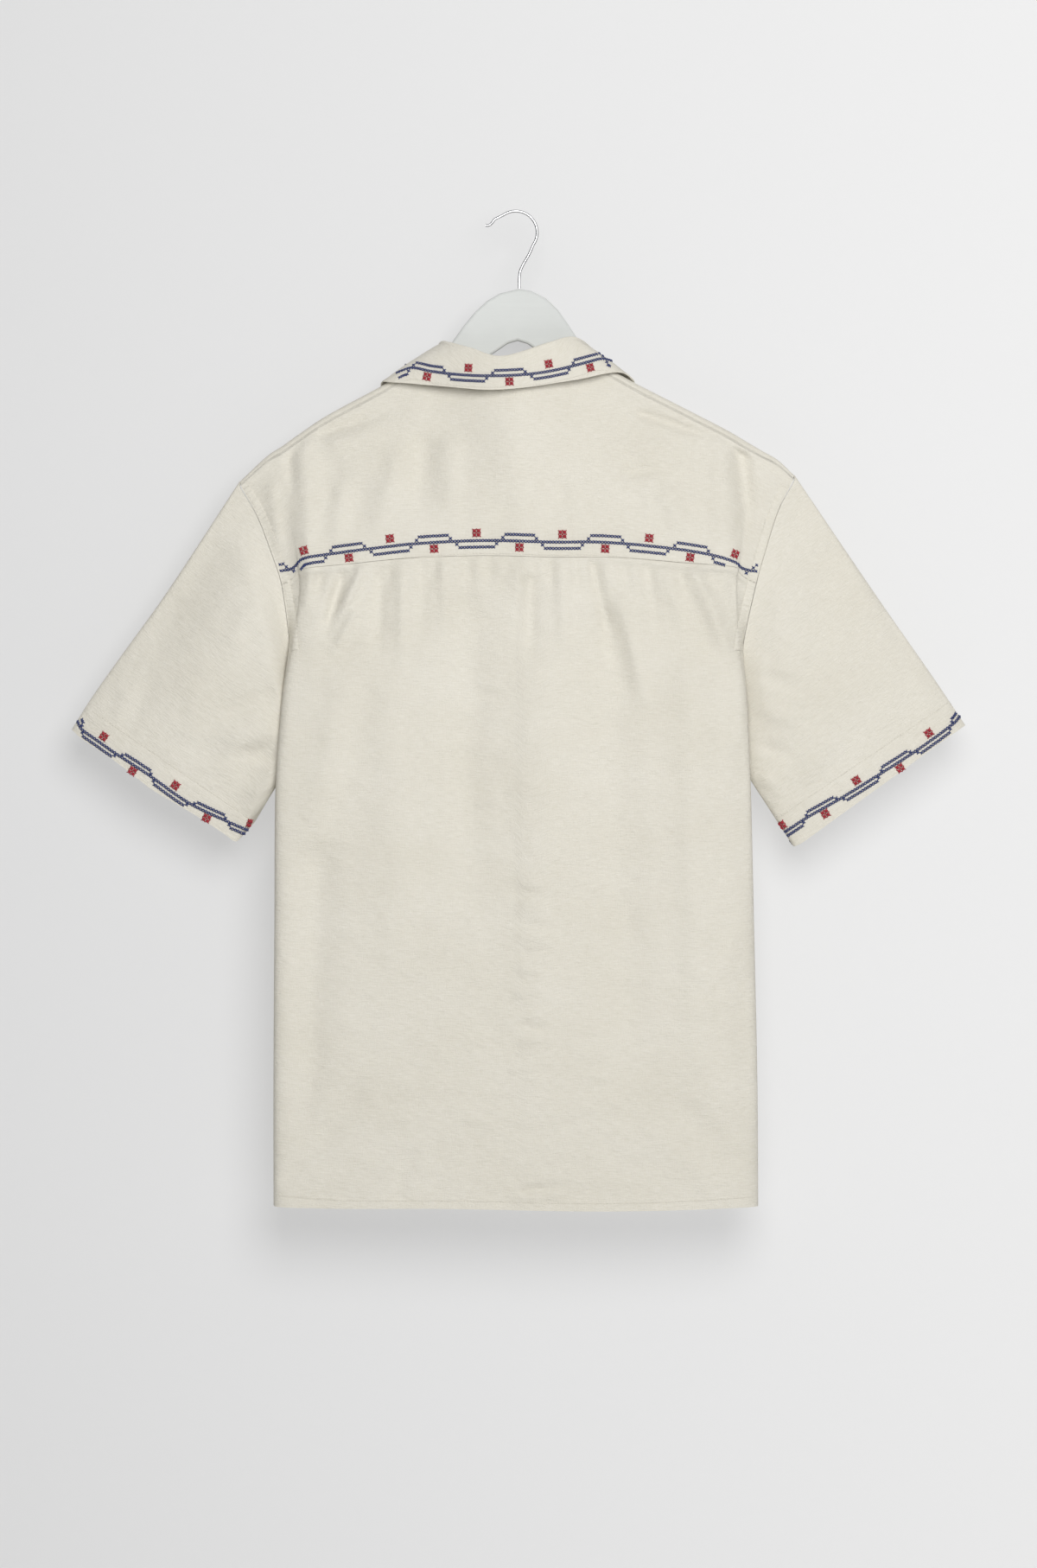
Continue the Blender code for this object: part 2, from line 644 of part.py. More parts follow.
def add_hanger(material):
    """The flat board: its outline filled, half its thickness each way, with a small chamfer all round."""
    curve = bpy.data.curves.new("hanger", "CURVE")
    curve.dimensions = "2D"
    curve.fill_mode = "BOTH"
    curve.extrude = HANGER_HALF - HANGER_CHAMFER
    curve.bevel_depth = HANGER_CHAMFER
    curve.bevel_resolution = 1
    curve.offset = -HANGER_CHAMFER
    points = hanger_outline()
    spline = curve.splines.new("POLY")
    spline.points.add(len(points) - 1)
    for place, (x, z) in zip(spline.points, points):
        place.co = (x, z, 0.0, 1.0)
    spline.use_cyclic_u = True
    hanger = add_object("hanger", curve, material)
    hanger.rotation_euler = (math.radians(90), 0.0, 0.0)
    return hanger


def hook_path():
    """The wire's middle line, with its round stretch as an arc."""
    path = list(HOOK_TIP)
    steps = 11
    for i in range(steps + 1):
        angle = math.radians(mix(HOOK_ARC_FROM, HOOK_ARC_TO, i / steps))
        path.append(
            (
                HOOK_ARC_CENTRE[0] + HOOK_ARC_RADIUS * math.cos(angle),
                HOOK_ARC_CENTRE[1] + HOOK_ARC_RADIUS * math.sin(angle),
            )
        )
    return path + list(HOOK_SHANK) + [(HOOK_SHANK[-1][0], HOOK_FOOT)]


def add_hook(material):
    curve = bpy.data.curves.new("hook", "CURVE")
    curve.dimensions = "3D"
    curve.bevel_depth = HOOK_RADIUS
    curve.bevel_resolution = 2
    curve.use_fill_caps = True
    path = hook_path()
    spline = curve.splines.new("POLY")
    spline.points.add(len(path) - 1)
    for place, (x, z) in zip(spline.points, path):
        place.co = (x, 0.0, z, 1.0)
    return add_object("hook", curve, material)


def keep_off_neck(u, v):
    """The turn over the shoulders is left out across the neck."""
    on_back = v < YOKE_ROWS / (YOKE_ROWS + TURN_ROWS)
    return on_back or u < NECK_SHARE or u > 2 * NECK_SHARE


def add_fronts(cloth):
    for side, name in ((-1, "left"), (1, "right")):
        add_cloth(
            f"front_{name}",
            lambda u, v, side=side: front_surface(side, u, v),
            FRONT_COLUMNS,
            FRONT_ROWS,
            cloth,
            flip=side < 0,
        )
        add_cloth(
            f"lapel_{name}",
            lambda u, v, side=side: lapel_surface(side, u, v),
            LAPEL_COLUMNS,
            LAPEL_ROWS,
            cloth,
            flip=side < 0,
        )


def add_sleeves(cloth):
    for side, name in ((-1, "left"), (1, "right")):
        add_cloth(
            f"sleeve_{name}",
            lambda u, v, side=side: sleeve_surface(side, u, v),
            SLEEVE_COLUMNS,
            SLEEVE_ROWS,
            cloth,
            flip=side > 0,
            tube=True,
        )


def build():
    cloth = make_material("undyed cotton and linen", (0.70, 0.67, 0.58), 0.9)
    paint = make_material("white hanger paint", (0.80, 0.82, 0.78), 0.35)
    steel = make_material("polished steel", (0.62, 0.62, 0.62), 0.15, 1.0)
    shell = make_material("button", (0.75, 0.71, 0.62), 0.3)
    add_cloth("back_yoke", yoke_surface, BACK_COLUMNS, YOKE_ROWS + TURN_ROWS, cloth, keep=keep_off_neck)
    add_cloth("back_panel", back_surface, BACK_COLUMNS, PANEL_ROWS, cloth)
    add_fronts(cloth)
    add_sleeves(cloth)
    add_cloth("collar", collar_surface, COLLAR_STATIONS, COLLAR_STEPS, cloth, flip=True)
    for number, z in enumerate(BUTTON_HEIGHTS, 1):
        add_button(f"button_{number}", 0.0, z, shell)
    add_hanger(paint)
    add_hook(steel)


for old in list(bpy.data.objects):
    bpy.data.objects.remove(old, do_unlink=True)
SHIRT = bpy.data.collections.new("short-sleeve shirt on hanger")
bpy.context.scene.collection.children.link(SHIRT)
build()
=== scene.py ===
# %% [markdown]
# A short-sleeve shirt on a painted wooden hanger, seen from behind.
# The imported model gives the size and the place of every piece. This script dresses it: each cut of cloth
# gets its folds, its hems and its seams, then the embroidery, the topstitching and the finishes follow.

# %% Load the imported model
import bisect
import functools
import math
import random

import bmesh
import bpy
import numpy
from mathutils import Matrix, Vector, noise
from mathutils.bvhtree import BVHTree


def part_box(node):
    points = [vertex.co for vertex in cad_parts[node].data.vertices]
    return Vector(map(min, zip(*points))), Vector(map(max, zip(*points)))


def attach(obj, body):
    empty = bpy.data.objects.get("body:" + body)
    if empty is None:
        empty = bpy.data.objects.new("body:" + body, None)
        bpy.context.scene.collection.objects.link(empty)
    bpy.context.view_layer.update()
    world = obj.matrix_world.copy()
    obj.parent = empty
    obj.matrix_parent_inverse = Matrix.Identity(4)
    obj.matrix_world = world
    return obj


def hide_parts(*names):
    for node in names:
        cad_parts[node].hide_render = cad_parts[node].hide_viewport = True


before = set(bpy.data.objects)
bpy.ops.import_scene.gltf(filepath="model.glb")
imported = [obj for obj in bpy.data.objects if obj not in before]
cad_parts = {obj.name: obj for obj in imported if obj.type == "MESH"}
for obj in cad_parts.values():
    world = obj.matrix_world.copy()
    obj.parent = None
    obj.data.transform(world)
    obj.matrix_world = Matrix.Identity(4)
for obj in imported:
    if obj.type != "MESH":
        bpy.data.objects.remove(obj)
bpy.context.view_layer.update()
random.seed(7)

# %% [markdown]
# The camera comes first, because the places of the folds and of the embroidery are read from the
# photograph. It stands far back with a long lens, straight behind the shirt, so that one unit of the
# photograph is 0.8 mm anywhere on the cloth.

# %% Camera
UNIT = 0.0008
FRAME_SIZE = (1200, 1814)
ORIGIN_PLACE = (600, 246)
CAMERA_DISTANCE = 8.0


def spot(across, down):
    """The place on the shirt, as x and z in metres, of a place in the photograph."""
    return (across - ORIGIN_PLACE[0]) * UNIT, (ORIGIN_PLACE[1] - down) * UNIT


def put(name, data, location=(0.0, 0.0, 0.0), rotation=(0.0, 0.0, 0.0)):
    """A new object in the scene."""
    thing = bpy.data.objects.new(name, data)
    thing.location, thing.rotation_euler = location, rotation
    bpy.context.scene.collection.objects.link(thing)
    return thing


UPRIGHT = (math.radians(90), 0.0, 0.0)
lens = bpy.data.cameras.new("camera")
lens.lens = lens.sensor_width * CAMERA_DISTANCE / (FRAME_SIZE[1] * UNIT)
middle_x, middle_z = spot(FRAME_SIZE[0] / 2, FRAME_SIZE[1] / 2)
bpy.context.scene.camera = put("camera", lens, (middle_x, -CAMERA_DISTANCE, middle_z), UPRIGHT)
print("lens of", round(lens.lens), "mm at", CAMERA_DISTANCE, "m")

# %% [markdown]
# A material is a graph of nodes. Written node by node it is hard to read, so one small class wraps a
# socket, and the usual signs on it add Math nodes. Another class holds a material and adds any other
# node, with its settings first and the values or links of its sockets after them.

# %% Wires and nodes
class Wire:
    """The value on a socket of a finish."""

    def __init__(self, finish, socket):
        self.finish, self.socket = finish, socket

    def math(self, operation, *values):
        return self.finish.add("ShaderNodeMath", {"operation": operation}, dict(enumerate(values)))["Value"]

    def __add__(self, other):
        return self.math("ADD", self, other)

    def __sub__(self, other):
        return self.math("SUBTRACT", self, other)

    def __rsub__(self, other):
        return self.math("SUBTRACT", other, self)

    def __mul__(self, other):
        return self.math("MULTIPLY", self, other)

    def __truediv__(self, other):
        return self.math("DIVIDE", self, other)

    __radd__, __rmul__ = __add__, __mul__


class Node:
    """A node of a finish. Its outputs are read by name or by number."""

    def __init__(self, finish, node):
        self.finish, self.node = finish, node

    def __getitem__(self, name):
        return Wire(self.finish, self.node.outputs[name])


print("wires can be added, subtracted, multiplied and divided")

# %% [markdown]
# A finish can add any node. The few that it needs most have a short name: two colours blended, soft
# noise, a ramp from 0 to 1 and a bump.

# %% Finishes
class Finish:
    """A material and the nodes that make it."""

    def __init__(self, name):
        self.material = bpy.data.materials.new(name)
        self.material.use_nodes = True
        self.tree = self.material.node_tree
        self.shader = self.tree.nodes["Principled BSDF"]

    def connect(self, socket, value):
        if isinstance(value, Wire):
            self.tree.links.new(value.socket, socket)
        elif socket.type == "RGBA":
            socket.default_value = (*value, 1.0)
        else:
            socket.default_value = value

    def add(self, kind, settings=None, inputs=None):
        node = self.tree.nodes.new(kind)
        for name, value in (settings or {}).items():
            setattr(node, name, value)
        for name, value in (inputs or {}).items():
            self.connect(node.inputs[name], value)
        return Node(self, node)

    def blend(self, share, first, second):
        """A colour between two colours."""
        return self.add("ShaderNodeMix", {"data_type": "RGBA"}, {0: share, 6: first, 7: second})[2]

    def noise(self, place, stretch, detail=2.0, roughness=0.5):
        """Soft noise of 0 to 1, with so many features to the metre along each axis."""
        moved = self.add("ShaderNodeMapping", {}, {"Vector": place, "Scale": stretch})["Vector"]
        inputs = {"Vector": moved, "Scale": 1.0, "Detail": detail, "Roughness": roughness}
        return self.add("ShaderNodeTexNoise", {}, inputs)["Fac"]

    def ramp(self, value, low, high):
        """0 below a low value and 1 above a high one."""
        inputs = {"Value": value, "From Min": low, "From Max": high}
        return self.add("ShaderNodeMapRange", {}, inputs)["Result"]

    def bump(self, height, distance, strength):
        inputs = {"Height": height, "Distance": distance, "Strength": strength}
        self.set(Normal=self.add("ShaderNodeBump", {}, inputs)["Normal"])

    def set(self, **values):
        for name, value in values.items():
            self.connect(self.shader.inputs[name.replace("_", " ")], value)


print("a finish starts as one shader, lit and unpainted")

# %% [markdown]
# The stage is a pale wall close behind the hanging shirt and a pale floor below it. The wall shows from
# its front only, so that the shirt can also be looked at from the other side.

# %% Wall and floor
WALL_DEPTH, WALL_SIZE, WALL_MIDDLE = 0.054, 1.8, -0.4
FLOOR_HEIGHT, FLOOR_SIZE, FLOOR_MIDDLE = -1.42, 2.4, -0.9
WALL_GREY, FLOOR_GREY = 0.29, 0.80
GRAIN_SHADE = 0.985      # how dark the plaster's grain is
WALL_PAINTED_LIGHT = 0.53         # painted light: the wall's own glow, standing for lamps on a studio's backdrop, which softens the shirt's shadow on it
PAINTED_SHADE_LEFT = 0.80         # painted shade: the share of the glow that is left half a metre to the left


def stage_sheet(name, size, location, rotation, grey):
    grid = bmesh.new()
    bmesh.ops.create_grid(grid, x_segments=2, y_segments=2, size=size)
    mesh = bpy.data.meshes.new(name)
    grid.to_mesh(mesh)
    grid.free()
    plaster = Finish(name)
    place = plaster.add("ShaderNodeTexCoord")["Object"]
    grain = plaster.noise(place, (70.0, 70.0, 70.0), 4.0)
    dark, pale = [grey * GRAIN_SHADE] * 3, [grey] * 3
    plaster.set(Base_Color=plaster.blend(grain, dark, pale), Roughness=0.9)
    mesh.materials.append(plaster.material)
    put(name, mesh, location, rotation)
    return plaster, place


def light_wall(wall, place):
    """The wall glows with painted light, with painted shade towards the left, and is clear from behind."""
    across = wall.add("ShaderNodeSeparateXYZ", {}, {"Vector": place})["X"]
    # painted light on the wall, dimmed towards the left as painted shade
    glow = wall.blend(wall.ramp(across, -0.5, 0.5), [PAINTED_SHADE_LEFT] * 3, [1.0] * 3)
    wall.set(Emission_Color=glow, Emission_Strength=WALL_PAINTED_LIGHT)
    behind = wall.add("ShaderNodeNewGeometry")["Backfacing"]
    clear = wall.add("ShaderNodeBsdfTransparent")["BSDF"]
    seen = Wire(wall, wall.shader.outputs["BSDF"])
    both = wall.add("ShaderNodeMixShader", {}, {0: behind, 1: seen, 2: clear})["Shader"]
    wall.connect(wall.tree.nodes["Material Output"].inputs["Surface"], both)


light_wall(*stage_sheet("wall", WALL_SIZE, (0.0, WALL_DEPTH, WALL_MIDDLE), UPRIGHT, WALL_GREY))
stage_sheet("floor", FLOOR_SIZE, (0.0, FLOOR_MIDDLE, FLOOR_HEIGHT), (0.0, 0.0, 0.0), FLOOR_GREY)
print("wall at", WALL_DEPTH, "and floor at", FLOOR_HEIGHT)

# %% [markdown]
# One large soft lamp hangs in front, above and to the right, so that folds are lit along one side and
# the shirt throws a soft shadow down and to the left. The pale surroundings fill the rest.

# %% Light
LAMP_PLACE, LAMP_AIM = Vector((0.40, -2.72, 0.56)), Vector((0.0, 0.0, -0.42))
LAMP_SIZE, LAMP_POWER, SURROUNDINGS = 1.9, 72.5, 0.24
lamp = bpy.data.lights.new("key", "AREA")
lamp.shape, lamp.size, lamp.energy = "DISK", LAMP_SIZE, LAMP_POWER
put("key", lamp, LAMP_PLACE, (LAMP_AIM - LAMP_PLACE).to_track_quat("-Z", "Y").to_euler())
surroundings = bpy.data.worlds.new("studio")
surroundings.use_nodes = True
backdrop = surroundings.node_tree.nodes["Background"]
backdrop.inputs["Color"].default_value = (1.0, 1.0, 1.0, 1.0)
backdrop.inputs["Strength"].default_value = SURROUNDINGS
bpy.context.scene.world = surroundings
bpy.context.scene.view_settings.view_transform = "Standard"
print("one soft lamp and pale surroundings")

# %% [markdown]
# The cloth is a plain weave of cotton and linen. Its yarns vary in thickness, so short thick stretches
# lie across it, with fainter ones up and down. The weave follows the cloth and not the room, so it is
# read from a UV map in metres, which every cut of cloth gets later.

# %% Cloth finish
YARN_PITCH = 0.0009


def cloth_finish(name, pale, dark):
    cloth = Finish(name)
    lay = cloth.add("ShaderNodeUVMap", {"uv_map": "cloth"})["UV"]
    slubs = cloth.noise(lay, (110.0, 950.0, 1.0), 3.0, 0.6)
    warp = cloth.noise(lay, (1100.0, 130.0, 1.0), 2.0, 0.6)
    creases = cloth.noise(lay, (90.0, 190.0, 1.0), 3.0, 0.55)
    tone = cloth.noise(lay, (9.0, 14.0, 1.0), 2.0, 0.5)
    share = cloth.ramp(slubs * 0.6 + warp * 0.25 + tone * 0.35, 0.42, 0.78)
    cloth.set(Base_Color=cloth.blend(share, dark, pale), Roughness=0.80 + slubs * 0.18)
    cloth.set(Sheen_Weight=0.12, Sheen_Roughness=0.5, Specular_IOR_Level=0.25)
    parts = cloth.add("ShaderNodeSeparateXYZ", {}, {"Vector": lay})
    over, under = (parts[way].math("SINE", parts[way] * (2 * math.pi / YARN_PITCH)) for way in "XY")
    cloth.bump(slubs * 0.55 + warp * 0.3 + creases * 0.9 + over * under * 0.08, 0.0014, 0.8)
    return cloth.material


CLOTH = cloth_finish("undyed cotton and linen", (0.785, 0.755, 0.675), (0.695, 0.660, 0.565))
print("the cloth has", len(CLOTH.node_tree.nodes), "nodes")

# %% [markdown]
# Sewing thread is twisted from several strands, for which fine noise is enough. The hanger's paint has
# brush marks, the hook's polished steel has fine scratches, and the buttons' pale shell has soft bands.

# %% Thread, paint, steel and button
def two_tone(name, colours, tones, marks, roughness, relief, **values):
    """Two colours mixed by soft tones. Marks stand out a little and add to the roughness."""
    finish = Finish(name)
    place = finish.add("ShaderNodeTexCoord")["Object"]
    soft = finish.noise(place, *tones)
    fine = finish.noise(place, *marks) if marks else soft
    least, more = roughness
    finish.set(Base_Color=finish.blend(soft, *colours), Roughness=least + fine * more, **values)
    finish.bump(fine, *relief)
    return finish.material


def thread_finish(name, dark, pale):
    strands = ((1300.0, 1300.0, 1300.0), 2.0, 0.6)
    return two_tone(name, (dark, pale), strands, None, (0.62, 0.0), (0.0003, 0.5), Sheen_Weight=0.15)


NAVY = thread_finish("navy thread", (0.012, 0.022, 0.095), (0.022, 0.042, 0.175))
RED = thread_finish("red thread", (0.25, 0.005, 0.016), (0.42, 0.007, 0.024))
SEWING = thread_finish("undyed thread", (0.66, 0.63, 0.54), (0.80, 0.77, 0.69))
PAINT = two_tone(
    "white hanger paint", ((0.555, 0.57, 0.555), (0.635, 0.65, 0.63)), ((18.0, 18.0, 18.0), 3.0),
    ((22.0, 300.0, 420.0), 3.0), (0.30, 0.2), (0.0002, 0.35), Specular_IOR_Level=0.2,
)
STEEL = two_tone(
    "polished steel", ((0.50, 0.50, 0.51), (0.62, 0.62, 0.63)), ((60.0, 60.0, 60.0), 2.0),
    ((500.0, 900.0, 2600.0), 2.0), (0.12, 0.12), (0.00005, 0.2), Metallic=1.0,
)
SHELL = two_tone(
    "pale shell button", ((0.50, 0.43, 0.31), (0.70, 0.64, 0.52)), ((260.0, 60.0, 620.0), 3.0),
    None, (0.18, 0.15), (0.0001, 0.3), Coat_Weight=0.4, Coat_Roughness=0.1,
)
print("thread in three colours, paint, steel and shell")

# %% [markdown]
# The cloth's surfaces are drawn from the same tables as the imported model: a row is a place on the shirt,
# and a smooth curve runs through the rows. Here each surface is worked out far more finely, with all its
# folds on it.

# %% Tables and curves
class Table:
    """Rows of named columns. A value between two rows is read from a smooth curve through them."""

    def __init__(self, names, *rows):
        self.names, self.rows = names.split(), sorted(rows)
        self.keys = [row[0] for row in self.rows]

    def at(self, name, key):
        column, keys, rows, last = self.names.index(name), self.keys, self.rows, len(self.keys) - 1
        key = min(max(key, keys[0]), keys[last])
        i = min(bisect.bisect_right(keys, key), last) - 1
        slopes = []
        for n in (i, i + 1):
            low, high = max(n - 1, 0), min(n + 1, last)
            slopes.append((rows[high][column] - rows[low][column]) / (keys[high] - keys[low]))
        span = keys[i + 1] - keys[i]
        t = (key - keys[i]) / span
        return (
            rows[i][column] * (1 + 2 * t) * (1 - t) ** 2
            + slopes[0] * span * t * (1 - t) ** 2
            + rows[i + 1][column] * t * t * (3 - 2 * t)
            - slopes[1] * span * t * t * (1 - t)
        )


def ease(t):
    """A soft step from 0 to 1."""
    t = min(max(t, 0.0), 1.0)
    return t * t * (3 - 2 * t)


def mix(a, b, t):
    return a * (1 - t) + b * t


def from_to(first, last, steps):
    """Even steps from one value to another."""
    return [mix(first, last, i / steps) for i in range(steps + 1)]


def bezier(a, b, c, d, t):
    return a * (1 - t) ** 3 + 3 * b * t * (1 - t) ** 2 + 3 * c * t * t * (1 - t) + d * t**3


print("halfway along a soft step:", ease(0.5))

# %% [markdown]
# These tables hold the shirt's edges in metres: the shoulders, the yoke seam, the hem and the two sides.
# A row of a side says where the cloth starts to turn, where it folds, and where its edge lies behind.

# %% Edges of the shirt
RIDGE = Table(
    "x z",
    (-0.2570, -0.2480), (-0.2320, -0.2248), (-0.2184, -0.2160), (-0.2080, -0.2085), (-0.1792, -0.1890),
    (-0.1232, -0.1585), (-0.0850, -0.1350), (-0.0100, -0.1200), (0.0650, -0.1360), (0.1120, -0.1600),
    (0.1648, -0.1868), (0.1944, -0.2022), (0.2048, -0.2083), (0.2248, -0.2202), (0.2400, -0.2290),
    (0.2544, -0.2424),
)
TURN_DEPTH, TURN_RISE = 0.0085, 0.0080
TURN = Table(
    "x depth rise",
    (-0.2570, 0.0045, 0.0050), (-0.2300, 0.0070, 0.0070), (-0.2120, TURN_DEPTH, TURN_RISE),
    (0.2000, TURN_DEPTH, TURN_RISE), (0.2250, 0.0070, 0.0070), (0.2544, 0.0045, 0.0050),
)
YOKE_SEAM = Table(
    "x z",
    (-0.2187, -0.3445), (-0.2040, -0.3388), (-0.1900, -0.3320), (-0.1360, -0.3256), (-0.0912, -0.3208),
    (-0.0300, -0.3182), (0.0300, -0.3196), (0.0784, -0.3198), (0.1360, -0.3248), (0.1848, -0.3293),
    (0.2040, -0.3375), (0.2196, -0.3432),
)
HEM = Table(
    "x z",
    (-0.2256, -0.9150), (-0.1600, -0.9195), (-0.0600, -0.9198), (0.0640, -0.9222), (0.1500, -0.9205),
    (0.2208, -0.9160),
)
LEFT_SIDE = Table(
    "z turn_x fold_x edge_x edge_y front_y",
    (-0.2480, -0.205, -0.2310, -0.2570, -0.0045, 0.0045),
    (-0.2530, -0.205, -0.2300, -0.2570, -0.0045, 0.0045),
    (-0.2808, -0.200, -0.2200, -0.2416, -0.0095, 0.0090),
    (-0.3168, -0.190, -0.2080, -0.2276, -0.0155, 0.0140),
    (-0.3445, -0.185, -0.2016, -0.2187, -0.0190, 0.0160),
    (-0.4070, -0.182, -0.2104, -0.2104, -0.0130, 0.0150),
    (-0.4490, -0.185, -0.2176, -0.2070, -0.0060, 0.0120),
    (-0.5010, -0.190, -0.2224, -0.2056, 0.0005, 0.0010),
    (-0.5460, -0.192, -0.2243, -0.2080, 0.0020, 0.0025),
    (-0.6500, -0.192, -0.2248, -0.2100, 0.0030, 0.0035),
    (-0.8000, -0.192, -0.2256, -0.2110, 0.0030, 0.0035),
    (-0.9200, -0.192, -0.2256, -0.2110, 0.0030, 0.0035),
)
RIGHT_SIDE = Table(
    "z turn_x fold_x edge_x edge_y front_y",
    (-0.2424, 0.205, 0.2300, 0.2544, -0.0045, 0.0045),
    (-0.2474, 0.205, 0.2290, 0.2544, -0.0045, 0.0045),
    (-0.2752, 0.200, 0.2190, 0.2404, -0.0095, 0.0090),
    (-0.3136, 0.190, 0.2080, 0.2280, -0.0155, 0.0140),
    (-0.3432, 0.185, 0.2016, 0.2196, -0.0190, 0.0160),
    (-0.3990, 0.178, 0.2042, 0.2078, -0.0130, 0.0150),
    (-0.4520, 0.182, 0.2104, 0.2035, -0.0060, 0.0120),
    (-0.5010, 0.184, 0.2130, 0.1990, 0.0005, 0.0010),
    (-0.5460, 0.185, 0.2145, 0.1990, 0.0020, 0.0025),
    (-0.6500, 0.186, 0.2168, 0.2020, 0.0030, 0.0035),
    (-0.8000, 0.188, 0.2200, 0.2050, 0.0030, 0.0035),
    (-0.9200, 0.188, 0.2208, 0.2060, 0.0030, 0.0035),
)
SIDES = {-1: LEFT_SIDE, 1: RIGHT_SIDE}
print("shoulders", RIDGE.at("z", -0.2), RIDGE.at("z", 0.2), "hem", HEM.at("z", 0.0))

# %% [markdown]
# A fold is a line with a half width and a height. Across its line it is a soft bell, and at its ends it
# fades away, sooner at the top and more slowly at the bottom. A height above 0 is a ridge and one below 0
# a trough. The places are read from the photograph, in its own units. Between them the cloth is never
# quite flat, so a little stretched noise stands for the crumpling that is left.

# %% Folds
FOLD_DEPTH = 3.5        # what every height, in millimetres, is multiplied by
FOLD_REACH = 2.6        # half widths from its line at which a fold ends


class Folds:
    """Ridges and troughs that are laid on one piece."""

    def __init__(self, *rows):
        self.lines = []
        for x0, y0, x1, y1, width, height in rows:
            start, end = spot(x0, y0), spot(x1, y1)
            run, rise = Vector((end[0] - start[0], end[1] - start[1])), height * FOLD_DEPTH / 1000
            self.lines.append((start, run.normalized(), run.length, width * UNIT, rise))

    def height(self, x, z):
        total = 0.0
        for start, way, length, width, rise in self.lines:
            away_x, away_z = x - start[0], z - start[1]
            aside = (away_x * way.y - away_z * way.x) / width
            along = away_x * way.x + away_z * way.y
            before, after = along + width, length + width - along
            if abs(aside) < FOLD_REACH and before > 0 and after > 0:
                fade = ease(before / (2 * width)) * ease(after / (0.5 * length + width))
                total += rise * fade * math.exp(-aside * aside)
        return total


def crumple(x, z, seed, size=0.0008):
    """Small uneven relief, longer across than up and down."""
    wide = noise.noise(Vector((x * 45, z * 70, seed)))
    fine = noise.noise(Vector((x * 95, z * 190, seed + 9)))
    return size * (wide + 0.55 * fine)


highest = max(crumple(step / 100, -0.51, 1.0) for step in range(-20, 21))
print("along one line of the back, crumpling lifts the cloth by up to", round(highest * 1000, 2), "mm")

# %% [markdown]
# Long soft bands hang down the back. Gathers start at the yoke seam, where the back is eased in, and
# faint creases lie across the middle and in the lower corners.

